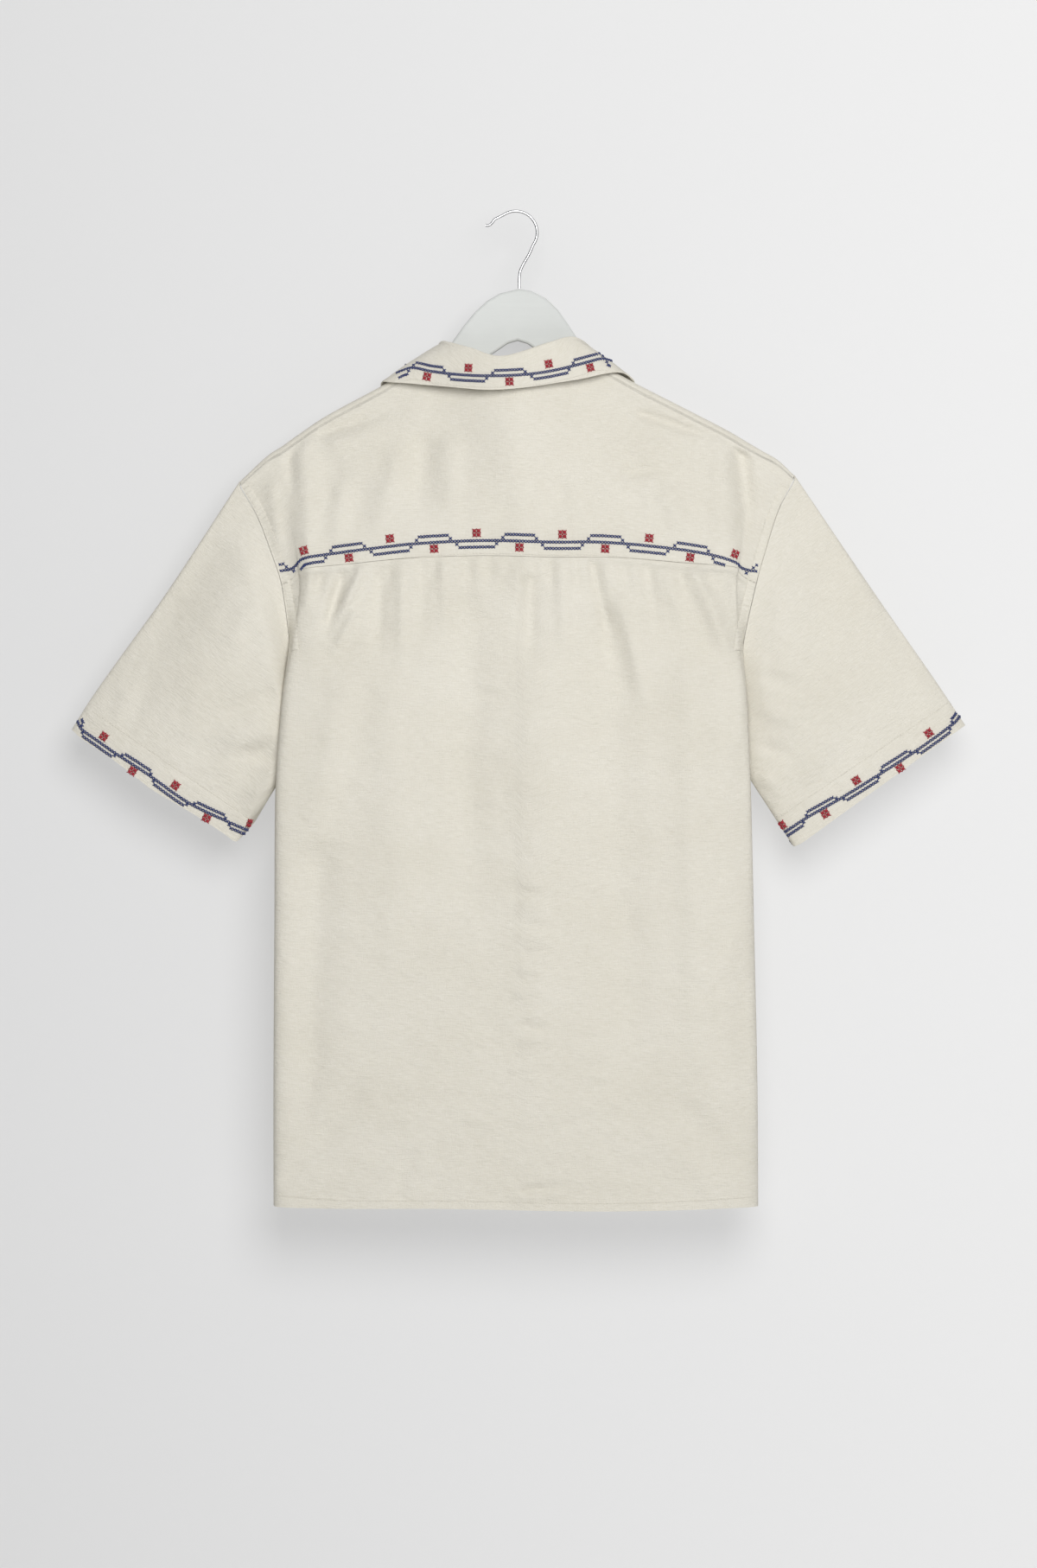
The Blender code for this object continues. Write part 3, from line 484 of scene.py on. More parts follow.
# %% Folds of the back
BACK_FOLDS = Folds(
    # long soft bands
    (545, 700, 540, 1090, 26, -1.8), (700, 720, 735, 1370, 30, -2.2), (625, 760, 622, 1340, 30, 1.6),
    (800, 760, 812, 1370, 24, 1.9), (452, 780, 462, 1180, 28, 1.0), (372, 980, 350, 1330, 22, -1.7),
    (400, 780, 356, 1000, 20, 1.2), (858, 860, 862, 1080, 10, -1.0), (858, 1130, 862, 1330, 10, -1.0),
    # gathers that start at the yoke seam
    (360, 660, 350, 712, 8, 1.5), (398, 664, 374, 742, 6, -1.9), (421, 656, 394, 716, 6, 1.7),
    (413, 706, 386, 758, 5, 1.1), (441, 662, 437, 768, 9, -1.3), (466, 654, 465, 780, 7, 1.0),
    (490, 652, 489, 745, 8, -0.7), (515, 650, 515, 750, 7, 0.9), (540, 648, 541, 720, 8, -0.6),
    (602, 644, 600, 700, 13, 1.3), (612, 668, 615, 772, 9, -1.2), (650, 650, 654, 770, 9, 1.1),
    (684, 652, 706, 742, 7, -1.6), (700, 716, 735, 842, 10, -0.6), (716, 690, 750, 826, 8, 1.1),
    (746, 656, 764, 745, 8, -0.9), (770, 658, 792, 742, 8, 0.9), (802, 660, 858, 790, 9, 1.9),
    (846, 676, 860, 745, 7, -1.5), (826, 668, 846, 720, 5, -0.6), (338, 745, 326, 890, 6, 1.0),
    (858, 750, 857, 890, 6, 1.0), (848, 1078, 838, 1128, 9, 0.9),
    # short ones between them
    (372, 664, 366, 690, 4, -0.6), (384, 662, 376, 694, 4, 0.5), (410, 660, 402, 684, 3.5, -0.5),
    (431, 656, 426, 690, 4, 0.6), (452, 655, 450, 684, 4, -0.5), (478, 652, 477, 690, 4, 0.5),
    (503, 650, 502, 678, 4, -0.5), (528, 649, 528, 684, 4, 0.5), (553, 647, 554, 676, 4, 0.5),
    (566, 646, 567, 690, 4, -0.5), (580, 646, 580, 672, 4, 0.4), (624, 646, 626, 680, 4, 0.5),
    (637, 647, 639, 690, 4, -0.6), (664, 649, 670, 690, 4, -0.5), (676, 650, 684, 680, 4, 0.5),
    (700, 652, 708, 684, 4, 0.5), (722, 654, 730, 690, 4, -0.5), (734, 655, 742, 684, 4, 0.5),
    (758, 657, 766, 690, 4, 0.5), (784, 659, 793, 690, 4, -0.6), (814, 663, 824, 692, 4, -0.5),
    # short creases across the middle
    (552, 792, 578, 796, 4, 0.5), (556, 806, 580, 802, 4, -0.5), (546, 868, 574, 862, 4, 0.5),
    (560, 884, 588, 890, 4, -0.4), (552, 930, 584, 926, 4, 0.5), (588, 918, 632, 906, 4, 0.4),
    (598, 1016, 626, 1022, 4, 0.5), (596, 1032, 640, 1036, 4, -0.6), (600, 1050, 634, 1044, 4, 0.5),
    (604, 1066, 640, 1072, 4, -0.5), (598, 1084, 636, 1080, 4, 0.5), (606, 1102, 642, 1098, 4, -0.5),
    (600, 1120, 630, 1126, 4, 0.5), (596, 1150, 636, 1142, 4, 0.5), (600, 1184, 640, 1190, 5, -0.7),
    (602, 1204, 636, 1198, 4, 0.6), (590, 1236, 620, 1228, 4, 0.5), (540, 1290, 580, 1300, 5, 0.5),
    (470, 1230, 500, 1244, 5, -0.4), (680, 1240, 716, 1250, 5, 0.4), (650, 1300, 690, 1290, 5, -0.4),
    # the lower corners and the hem
    (420, 1262, 322, 1372, 14, -0.9), (370, 1200, 348, 1330, 16, -0.5), (352, 1344, 318, 1370, 5, -0.8),
    (784, 1270, 868, 1374, 16, -0.9), (748, 1300, 840, 1388, 12, 0.4), (690, 1320, 780, 1390, 12, -0.3),
    (602, 1376, 664, 1368, 4, -0.8), (598, 1384, 662, 1379, 4, 0.7), (480, 1330, 452, 1392, 9, -0.7),
)
print(len(BACK_FOLDS.lines), "folds on the back")

# %% [markdown]
# Every cut of cloth starts as a flat grid, as cloth does. Each vertex is moved to its place on the hung
# shirt, which keeps the faces even, and the lengths between the vertices give the UV map in metres. The
# thickness is a Solidify modifier that stays live and grows inwards.

# %% The lay of the cloth
WALL = 0.0012
SAME_PLACE = 0.00001
CUTS = {}


def gap(stand, here, before):
    """The length between neighbours on the cloth, or nothing where one was left out."""
    return (stand[here] - stand[before]).length if here in stand and before in stand else 0.0


def keep_lay(grid, places, columns, rows):
    """Write how far each vertex lies along and up its cloth, in metres, as a UV map."""
    stand = {(round(u * columns), round(v * rows)): vert.co for vert, (u, v) in places.items()}
    along, up = {}, {}
    for j in range(rows + 1):
        for i in range(columns + 1):
            along[i, j] = along.get((i - 1, j), 0.0) + gap(stand, (i, j), (i - 1, j))
            up[i, j] = up.get((i, j - 1), 0.0) + gap(stand, (i, j), (i, j - 1))
    layer = grid.loops.layers.uv.new("cloth")
    for face in grid.faces:
        for loop in face.loops:
            u, v = places[loop.vert]
            i, j = round(u * columns), round(v * rows)
            loop[layer].uv = along[i, j] - along[columns, j] / 2, up[i, j]


print("cloth is", WALL * 1000, "mm thick")

# %% [markdown]
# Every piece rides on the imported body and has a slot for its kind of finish. The needle and thread work
# later on needs each cut's surface, so it is kept in a tree that rays can search.

# %% Cutting cloth
def add_piece(name, data, finish, wall=0.0):
    """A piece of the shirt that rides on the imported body. A wall is its thickness, grown inwards."""
    data.materials.append(finish)
    piece = put(name, data)
    if wall:
        thickness = piece.modifiers.new("thickness", "SOLIDIFY")
        thickness.thickness, thickness.offset = wall, -1
    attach(piece, "root")
    return piece


def smooth_mesh(name, grid):
    """A grid's mesh, shaded smooth. The grid is freed."""
    mesh = bpy.data.meshes.new(name)
    grid.to_mesh(mesh)
    grid.free()
    mesh.polygons.foreach_set("use_smooth", [True] * len(mesh.polygons))
    return mesh


def new_grid(columns, rows):
    """A flat grid, and the share along and up of each of its vertices."""
    grid = bmesh.new()
    bmesh.ops.create_grid(grid, x_segments=columns, y_segments=rows, size=0.5)
    return grid, {vert: (vert.co.x + 0.5, vert.co.y + 0.5) for vert in grid.verts}


def cut_cloth(name, surface, columns, rows, flip=False, keep=None, tube=False):
    grid, places = new_grid(columns, rows)
    if keep:
        middles = {face: [sum(places[v][i] for v in face.verts) / 4 for i in (0, 1)] for face in grid.faces}
        unwanted = [face for face in grid.faces if not keep(*middles[face])]
        bmesh.ops.delete(grid, geom=unwanted, context="FACES")
        places = {vert: places[vert] for vert in grid.verts}
    for vert in grid.verts:
        vert.co = surface(*places[vert])
    keep_lay(grid, places, columns, rows)
    if tube:
        bmesh.ops.remove_doubles(grid, verts=grid.verts, dist=SAME_PLACE)
    if flip:
        bmesh.ops.reverse_faces(grid, faces=grid.faces)
    for edge in grid.edges:
        edge.smooth = not edge.is_boundary
    area = sum(face.calc_area() for face in grid.faces)
    grid.normal_update()
    CUTS[name] = BVHTree.FromBMesh(grid)
    piece = add_piece(name, smooth_mesh(name, grid), CLOTH, wall=WALL)
    print(name, "has", len(piece.data.polygons), "faces and", round(area, 4), "square metres")
    return piece


print("ready to cut")

# %% [markdown]
# The back hangs from the yoke seam. Its middle is nearly flat, and its two sides turn in to the side
# seams, which is why the seams don't show from behind.

# %% Back
BODY_DEPTH = Table(
    "z back", (-0.3000, 0.0290), (-0.4500, 0.0360), (-0.6000, 0.0430), (-0.8000, 0.0450), (-0.9200, 0.0420)
)
BACK_BOW = 0.004
UNDERARM = -0.5010
CORNER_SHARE = 0.12
RETURN_SLOPE, RETURN_REACH = 0.45, 0.008
CORNER_POWER = {-1: 3.6, 1: 2.0}     # how square the body's turned edges are below the arms
SQUARE_ABOVE, SQUARE_OVER = 0.06, 0.08
SEAM_GAP = 0.0003
HEM_TURN = 0.0072     # height of the body's turned hem
HEM_STEP = 0.0005     # how much thicker the cloth is there
HEM_SOFT = 0.0012     # height over which it thickens


def hem_step(x, z):
    return HEM_STEP * ease((HEM.at("z", x) + HEM_TURN - z) / HEM_SOFT)


def back_point(across, z_of, down, relief=BACK_FOLDS.height):
    """A point of the back. across runs from the left side seam to the right one, down from the top."""
    side = -1 if across < 0.5 else 1
    inward = min(across, 1 - across) / CORNER_SHARE
    z = z_of(mix(-0.2187, 0.2196, across), down)
    table = SIDES[side]
    turn, depth = table.at("turn_x", z), BODY_DEPTH.at("back", z)
    if inward < 1:
        edge = Vector((table.at("edge_x", z), table.at("edge_y", z), z))
        fold = table.at("fold_x", z)
        corner = (8 * fold - turn - edge.x) / 6      # takes the curve's halfway point to the fold
        tucked = RETURN_SLOPE * ease(side * (fold - edge.x) / RETURN_REACH + 0.5)
        point = bezier(
            edge,
            Vector((corner, mix(edge.y, -depth, tucked), z)),
            Vector((corner, -depth, z)),
            Vector((turn, -depth, z)),
            min(inward, 0.5),
        )
        if inward > 0.5:
            squareness = mix(2.0, CORNER_POWER[side], ease((UNDERARM + SQUARE_ABOVE - z) / SQUARE_OVER))
            angle, power = math.pi * (inward - 0.5), 2 / squareness
            point.x = mix(turn, point.x, max(math.cos(angle), 0.0) ** power)
            point.y = mix(point.y, -depth, math.sin(angle) ** power)
            point.y -= ease((inward - 0.5) * 2) * relief(point.x, z)
        return point
    share = (across - CORNER_SHARE) / (1 - 2 * CORNER_SHARE)
    x = mix(LEFT_SIDE.at("turn_x", z), RIGHT_SIDE.at("turn_x", z), share)
    bow = BACK_BOW * ease(4 * share * (1 - share))
    return Vector((x, -depth - bow - relief(x, z), z))


def back_relief(x, z):
    return BACK_FOLDS.height(x, z) + crumple(x, z, 1.0) + hem_step(x, z)


def panel_height(x, down):
    return mix(YOKE_SEAM.at("z", x) - SEAM_GAP, HEM.at("z", x), down)


def back_surface(u, v):
    return back_point(u, panel_height, 1 - v, back_relief)


back = cut_cloth("shirt_back", back_surface, 150, 170)
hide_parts("back_panel")

# %% [markdown]
# The yoke lies over the shoulders and turns down in front. It is one grid: its lower rows run up the
# back to the shoulder or the neckline, and its upper rows go round the hanger's arms. Past the hanger's
# tips nothing carries it, so it sinks in there, and a vertical valley runs down from each tip.

# %% Sizes and folds of the yoke
NECK_LEFT, NECK_RIGHT = -0.085, 0.079
NECK_DROP, NECK_DEPTH = -0.1500, 0.0300
TURN_POWER = 3.0
FRONT_DROP, FRONT_RISE = 0.020, 0.002
EDGE_REACH = 0.25
TURN_SHARE = 0.625
YOKE_COLUMNS, YOKE_ROWS, TURN_ROWS = 168, 60, 24
THIRD = 1 / 3       # the neck takes the middle third of the columns
YOKE_FOLDS = Folds(
    # valleys below the hanger's tips, with a ridge beside each
    (334, 520, 340, 575, 7, -1.0), (353, 505, 357, 665, 12, 0.9), (857, 515, 866, 625, 11, -2.4),
    (833, 500, 831, 665, 11, 0.9), (858, 600, 852, 676, 9, -0.8), (314, 560, 326, 660, 8, 0.9),
    # creases along the shoulders
    (737, 478, 838, 510, 6, -1.1), (748, 468, 852, 500, 6, 0.5), (364, 502, 452, 478, 7, -1.2),
    (380, 516, 450, 500, 9, 0.8), (706, 520, 790, 512, 7, 0.6),
    # soft troughs and swellings
    (489, 505, 486, 600, 15, -1.5), (385, 530, 380, 600, 14, -0.9), (715, 512, 745, 556, 16, -0.9),
    (462, 520, 440, 610, 12, 1.0), (520, 510, 524, 610, 14, 0.9),
    (718, 549, 788, 538, 8, -1.1), (728, 560, 742, 600, 10, -0.8), (770, 565, 792, 625, 12, 1.2),
    (668, 540, 668, 615, 14, 0.8), (650, 556, 648, 585, 10, -0.7), (590, 490, 590, 560, 30, 1.0),
    (418, 560, 412, 625, 12, -0.8), (394, 560, 388, 640, 10, 0.8), (610, 590, 560, 600, 8, -0.5),
)


print(len(YOKE_FOLDS.lines), "folds on the yoke")

# %% [markdown]
# A column of the yoke runs from its foot on the seam to its top, and then round the turn over the
# shoulder. Near the armholes the columns are drawn across to the edge of the side's table.

# %% Yoke
def yoke_relief(x, z):
    return YOKE_FOLDS.height(x, z) + crumple(x, z, 2.0, 0.0006)


def yoke_top_x(u):
    """Where a column of the yoke crosses the shoulder or the neckline."""
    if u <= THIRD:
        return mix(RIDGE.rows[0][0], NECK_LEFT, u / THIRD)
    if u >= 2 * THIRD:
        return mix(NECK_RIGHT, RIDGE.rows[-1][0], (u - 2 * THIRD) / THIRD)
    return mix(NECK_LEFT, NECK_RIGHT, (u - THIRD) / THIRD)


def turn_point(x, angle):
    """A point on the turn over the shoulders, from behind (180 degrees) over the top to the front (0)."""
    power = 2 / TURN_POWER
    depth, rise = TURN.at("depth", x), TURN.at("rise", x)
    cosine, sine = math.cos(angle), max(math.sin(angle), 0.0)
    y = math.copysign(depth * abs(cosine) ** power, cosine)
    return Vector((x, y, RIDGE.at("z", x) - rise + rise * sine**power))


def yoke_top(u):
    """Upper end of a column on the back: the start of the shoulder's turn, or the neckline."""
    point = turn_point(yoke_top_x(u), math.pi)
    if THIRD < u < 2 * THIRD:
        bell = math.sin(math.pi * (u - THIRD) / THIRD)
        point.z = mix(point.z, NECK_DROP, ease(bell))
        point.y = mix(point.y, -NECK_DEPTH, bell**2)
    return point


def yoke_foot(u):
    """Lower end of a column, on the seam."""
    return back_point(u, lambda x, down: YOKE_SEAM.at("z", x), 0.0)


YOKE_ENDS = {-1: (yoke_foot(0.0), yoke_top(0.0)), 1: (yoke_foot(1.0), yoke_top(1.0))}


def yoke_surface(u, v):
    row = round(v * (YOKE_ROWS + TURN_ROWS))
    side = -1 if u < 0.5 else 1
    nearness = max(0.0, 1 - min(u, 1 - u) / EDGE_REACH)
    if row <= YOKE_ROWS:
        t = row / YOKE_ROWS
        point = mix(yoke_foot(u), yoke_top(u), t)
        low, high = YOKE_ENDS[side]
        edge_z = mix(low.z, high.z, t)
        point.x += nearness * (SIDES[side].at("edge_x", edge_z) - mix(low.x, high.x, t))
        if nearness == 1:
            point.y = SIDES[side].at("edge_y", edge_z)
        calm = ease((1 - t) * 14) * ease((1 - nearness) * 12)
        point.y -= yoke_relief(point.x, point.z) * calm
        return point
    along = (row - YOKE_ROWS) / TURN_ROWS
    x = yoke_top_x(u)
    if along <= TURN_SHARE:
        return turn_point(x, math.pi * (1 - along / TURN_SHARE))
    down = (along - TURN_SHARE) / (1 - TURN_SHARE)
    front = turn_point(x, 0.0)
    front.z -= FRONT_DROP * down
    front.y += FRONT_RISE * down
    front.x += nearness * (SIDES[side].at("edge_x", front.z) - yoke_top_x(0.0 if side < 0 else 1.0))
    front.y = mix(front.y, SIDES[side].at("front_y", front.z), nearness**2)
    return front


def keep_off_neck(u, v):
    """The turn over the shoulders is left out across the neck."""
    return v < YOKE_ROWS / (YOKE_ROWS + TURN_ROWS) or u < THIRD or u > 2 * THIRD


yoke = cut_cloth("shirt_yoke", yoke_surface, YOKE_COLUMNS, YOKE_ROWS + TURN_ROWS, keep=keep_off_neck)
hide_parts("back_yoke")

# %% [markdown]
# The two fronts aren't in the photograph. They are a camp-collar shirt's: they meet over the middle with
# a placket, open into a V, and their neck edges turn back as small lapels.

# %% Sizes of the fronts
BREAK_HEIGHT = -0.315
LAPEL_FOOT, LAPEL_TOP = -0.283, -0.205
LAPEL_LEAST, LAPEL_MORE, LAPEL_LIFT = 0.006, 0.050, 0.012
LAPEL_GAP = 0.0006
PLACKET, UNDERLAP = 0.015, 0.0030
CHEST_DEPTH, CHEST_DROP = 0.030, 0.12
SIDE_SHARE, SIDE_TURN = 0.2, 0.040      # share and width of a front that turns to the side seam
SEAM_PULL = 0.12                        # share of a front below its shoulder seam that is drawn up
FRONT_FOLDS = Folds(
    (360, 560, 345, 800, 14, -1.6), (440, 640, 420, 980, 22, 1.8), (500, 760, 498, 1200, 24, -1.6),
    (390, 900, 372, 1300, 18, 1.6), (770, 600, 800, 900, 18, -1.8), (700, 700, 712, 1200, 24, 1.6),
    (820, 800, 838, 1250, 18, 1.6), (660, 900, 668, 1340, 18, -1.3), (430, 1100, 470, 1380, 16, -1.6),
    (760, 1050, 730, 1380, 16, -1.6), (560, 980, 585, 1040, 7, 0.8), (560, 1090, 588, 1140, 7, -0.8),
)


def front_depth(x, z):
    """Depth of the flat front at a place."""
    below = RIDGE.at("z", x) - z - TURN_RISE - FRONT_DROP
    return TURN_DEPTH + FRONT_RISE + CHEST_DEPTH * (1 - math.exp(-max(below, 0.0) / CHEST_DROP))


def front_inner_x(side, z):
    """Edge of a front: past the middle below the break, and the neck's slope above it."""
    neck = NECK_LEFT if side < 0 else NECK_RIGHT
    top = RIDGE.at("z", neck) - TURN_RISE - FRONT_DROP
    rise = (z - BREAK_HEIGHT) / (top - BREAK_HEIGHT)
    return mix(-side * PLACKET, neck, min(max(rise, 0.0), 1.0))


print("low on the flat front its depth is", round(front_depth(0.0, -0.6) * 1000, 1), "mm")

# %% [markdown]
# A front hangs from its shoulder seam and turns in to the side seam, as the back does. Its top edge is
# then drawn up to the yoke's own edge, so that the seam stays closed.

# %% Fronts and lapels
def hanging_front(side, u, v):
    """u runs from the armhole or side seam to the middle, v from the hem to the shoulder."""
    outer_x = RIDGE.rows[0][0] if side < 0 else RIDGE.rows[-1][0]
    neck = NECK_LEFT if side < 0 else NECK_RIGHT
    top_x = mix(outer_x, neck, u)
    top_z = RIDGE.at("z", top_x) - TURN.at("rise", top_x) - FRONT_DROP - SEAM_GAP
    hem_x = mix(SIDES[side].at("edge_x", -0.92), -side * PLACKET, u)
    z = mix(top_z, HEM.at("z", hem_x), 1 - v)
    table = SIDES[side]
    edge = Vector((table.at("edge_x", z), table.at("front_y", z) + SEAM_GAP, z))
    inner = front_inner_x(side, z)
    turn_x = edge.x - side * SIDE_TURN
    depth = front_depth(turn_x, z)
    if u < SIDE_SHARE:
        point = bezier(
            edge,
            Vector((edge.x + side * 0.002, mix(edge.y, depth, 0.4), z)),
            Vector((edge.x - side * 0.004, depth, z)),
            Vector((turn_x, depth, z)),
            u / SIDE_SHARE,
        )
    else:
        x = mix(turn_x, inner, (u - SIDE_SHARE) / (1 - SIDE_SHARE))
        point = Vector((x, front_depth(x, z), z))
        if side > 0:
            point.y -= UNDERLAP * ease(1 - abs(x) / 0.05)
    calm = ease(u * 4) * ease(abs(point.x - inner) / 0.06) * ease((top_z - z) / 0.05)
    point.y += calm * (FRONT_FOLDS.height(point.x, z) + crumple(point.x, z, 3.0)) + hem_step(point.x, z)
    return point


def front_surface(side, u, v):
    """The hanging front, drawn up to the yoke's own edge along the shoulder seam."""
    seam = yoke_surface(u / 3 if side < 0 else 1 - u / 3, 1.0) - Vector((0.0, 0.0, SEAM_GAP))
    pull = seam - hanging_front(side, u, 1.0)
    return hanging_front(side, u, v) + pull * ease(1 - (1 - v) / SEAM_PULL)


def lapel_surface(side, u, v):
    """A front's turned-back neck edge. u runs from the break up to the collar, v from its fold outward."""
    z = mix(LAPEL_FOOT, LAPEL_TOP, u)
    width = LAPEL_LEAST + LAPEL_MORE * u**0.8
    x = front_inner_x(side, z) + side * width * v
    z += LAPEL_LIFT * v * u
    return Vector((x, front_depth(x, z) + WALL + LAPEL_GAP, z))


SIDE_NAMES = {-1: "left", 1: "right"}


def cut_pair(part, surface, columns, rows, flip, tube=False):
    """The left and the right piece of a pair."""
    pair = {}
    for side, name in SIDE_NAMES.items():
        drawn = functools.partial(surface, side)
        pair[side] = cut_cloth(f"shirt_{part}_{name}", drawn, columns, rows, side == flip, tube=tube)
        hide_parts(f"{part}_{name}")
    return pair


fronts = cut_pair("front", front_surface, 84, 140, -1)
lapels = cut_pair("lapel", lapel_surface, 40, 24, -1)

# %% [markdown]
# A sleeve is a flattened tube. Its ends are the armhole and the cuff, and between them it swells a
# little. The cuff has a deep turned hem, which stands a little proud.

# %% Sizes and folds of the sleeves
SLEEVE_GAP, SLEEVE_HEAD_GAP = 0.0005, 0.0007
CUFF_DEPTH, SLEEVE_SWELL = 0.013, 0.006
SLEEVE_PUFF = {-1: 0.015, 1: 0.003}     # how much more the back of a sleeve swells beside the body
UNDER_LIFT = {-1: 0.012, 1: 0.002}      # how far the fold under the arm stands towards the back
SLEEVE_OUT = 0.83, 0.56      # the way, as x and z, that a sleeve's upper fold bulges
CUFF_TURN = 0.0245
CUFF_CORNERS = {
    -1: (Vector((-0.4136, 0.0, -0.4785)), Vector((-0.2440, 0.004, -0.5640))),
    1: (Vector((0.4136, 0.0, -0.4745)), Vector((0.2540, 0.004, -0.5860))),
}
CUFF_EDGE = {
    -1: Table(
        "share x z", (0.0, 83, 844), (0.06, 96, 855.6), (0.22, 126, 875), (0.38, 156.5, 898),
        (0.52, 179, 915), (0.70, 230, 945), (0.82, 262, 966), (0.88, 273, 973.5), (0.93, 281, 967),
        (1.0, 295, 951),
    ),
    1: Table(
        "share x z", (0.0, 1117, 839), (0.20, 1080, 865), (0.50, 1019, 909), (0.75, 965, 948),
        (0.88, 930, 973.5), (0.94, 921, 978.5), (1.0, 917, 978.5),
    ),
}
SLEEVE_BULGE = {
    -1: Table("out rise", (0.0, 0.0), (0.45, -0.0018), (0.72, 0.0004), (0.88, 0.0012), (1.0, 0.0)),
    1: Table("out rise", (0.0, 0.0), (0.5, -0.0004), (0.8, 0.0004), (1.0, 0.0)),
}
SLEEVE_FOLD_SHARE = 0.5      # folds are shallower here, because the sleeve's two sides are close
SLEEVE_FOLDS = {
    -1: Folds(
        (318, 800, 262, 832, 11, -2.4), (322, 842, 250, 866, 12, 2.2), (318, 872, 268, 872, 9, -1.8),
        (316, 905, 280, 925, 9, 1.4), (296, 640, 200, 800, 20, 1.2), (250, 630, 160, 780, 14, -0.9),
        (300, 740, 230, 880, 18, -1.2), (243, 896, 213, 906, 4, -0.9), (245, 901, 214, 911, 4, 0.7),
        (232, 912, 205, 922, 4, -0.5), (150, 800, 128, 845, 9, 0.8), (286, 700, 268, 760, 12, 1.0),
        (180, 780, 150, 850, 12, -0.7), (262, 860, 226, 878, 8, -0.7), (110, 833, 140, 846, 4, 0.5),
    ),
    1: Folds(
        (920, 565, 926, 640, 14, -1.4), (950, 650, 938, 830, 20, -1.6), (905, 640, 900, 760, 12, 1.2),
        (990, 640, 1020, 780, 18, 1.1), (1010, 640, 1060, 790, 12, -0.8), (960, 850, 930, 905, 12, 1.4),
        (885, 780, 925, 800, 9, -1.6), (880, 820, 930, 838, 10, 1.5), (882, 862, 920, 880, 9, -1.4),
        (884, 900, 915, 925, 8, 1.0), (1010, 800, 985, 880, 14, -0.8), (1060, 780, 1075, 830, 9, 0.8),
    ),
}


left_count, right_count = len(SLEEVE_FOLDS[-1].lines), len(SLEEVE_FOLDS[1].lines)
print(left_count, "folds on the left sleeve and", right_count, "on the right")

# %% [markdown]
# Each line of a sleeve runs straight from the armhole to the cuff, and forms are added to it. A form fades
# out towards the ends and folds of the sleeve, and the number beside its share in an ease says how soon.

# %% Sleeves
def armhole_point(side, down, front):
    """A point of the armhole. down is 0 on the shoulder and 1 under the arm."""
    table, facing = SIDES[side], 1 if front else -1
    end_x = RIDGE.rows[0][0] if side < 0 else RIDGE.rows[-1][0]
    top, rise, depth = RIDGE.at("z", end_x), TURN.at("rise", end_x), TURN.at("depth", end_x)
    z = mix(top, UNDERARM, down)
    height = (z - (top - rise)) / rise
    if height > 0:
        y = facing * depth * (1 - min(height, 1.0) ** TURN_POWER) ** (1 / TURN_POWER)
        return Vector((end_x, y, z))
    return Vector((table.at("edge_x", z), table.at("front_y" if front else "edge_y", z), z))


def cuff_point(side, share, front):
    """A point of the sleeve's edge. share is 0 at the outer corner and 1 under the arm."""
    outer, inner = CUFF_CORNERS[side]
    facing = 1 if front else -1
    if front:
        x, z = mix(outer.x, inner.x, share), mix(outer.z, inner.z, share)
    else:
        x, z = spot(CUFF_EDGE[side].at("x", share), CUFF_EDGE[side].at("z", share))
        last = ease((share - 0.97) / 0.03)
        x, z = mix(x, inner.x, last), mix(z, inner.z, last)
    return Vector((x, facing * CUFF_DEPTH * math.sqrt(max(0.0, 4 * share * (1 - share))), z))


def sleeve_surface(side, u, v):
    """u runs round the sleeve from its upper fold, down behind, and up in front; v from cuff to armhole."""
    front, out = u > 0.5, 1 - v
    facing = 1 if front else -1
    half = 2 * (1 - u) if front else 2 * u
    share, round_share = 0.5 - 0.5 * math.cos(math.pi * half), math.sin(math.pi * half)
    start, end = armhole_point(side, share, front), cuff_point(side, share, front)
    start = start + (end - start).normalized() * SLEEVE_GAP
    start.x += side * SLEEVE_HEAD_GAP * ease(1 - share / 0.1)
    length = (end - start).length
    point = mix(start, end, out)
    point.y += facing * SLEEVE_SWELL * round_share * ease(out * 2.5) * (1 - 0.5 * out)
    if not front:
        point.y -= SLEEVE_PUFF[side] * ease(share * 2.5) * round_share**0.5 * ease(out * 6) * (1 - out)
    point.y -= UNDER_LIFT[side] * ease((share - 0.75) / 0.25) * ease(out * 5) * ease((1 - out) * 3)
    bulge = SLEEVE_BULGE[side].at("rise", out) * ease(1 - share / 0.25)
    point += Vector((side * SLEEVE_OUT[0], 0.0, SLEEVE_OUT[1])) * bulge
    past_turn = CUFF_TURN - v * length
    relief = crumple(point.x, point.z, 4.0 + side + facing)
    if not front:
        relief += SLEEVE_FOLD_SHARE * SLEEVE_FOLDS[side].height(point.x, point.z)
    relief *= ease(round_share * 2.5) * ease(out * 8) * (1 - 0.6 * ease(past_turn / 0.01))
    point.y += facing * (relief + HEM_STEP * ease(past_turn / 0.0015) * ease(round_share * 3))
    return point


sleeves = cut_pair("sleeve", sleeve_surface, 150, 84, 1, tube=True)

# %% [markdown]
# The collar is cut in one piece with its stand. It rises from the neck seam, rolls over, and its leaf
# falls outside. The roll is half a circle, and the edge of the leaf is a little thicker, because the
# seam inside it is turned there.

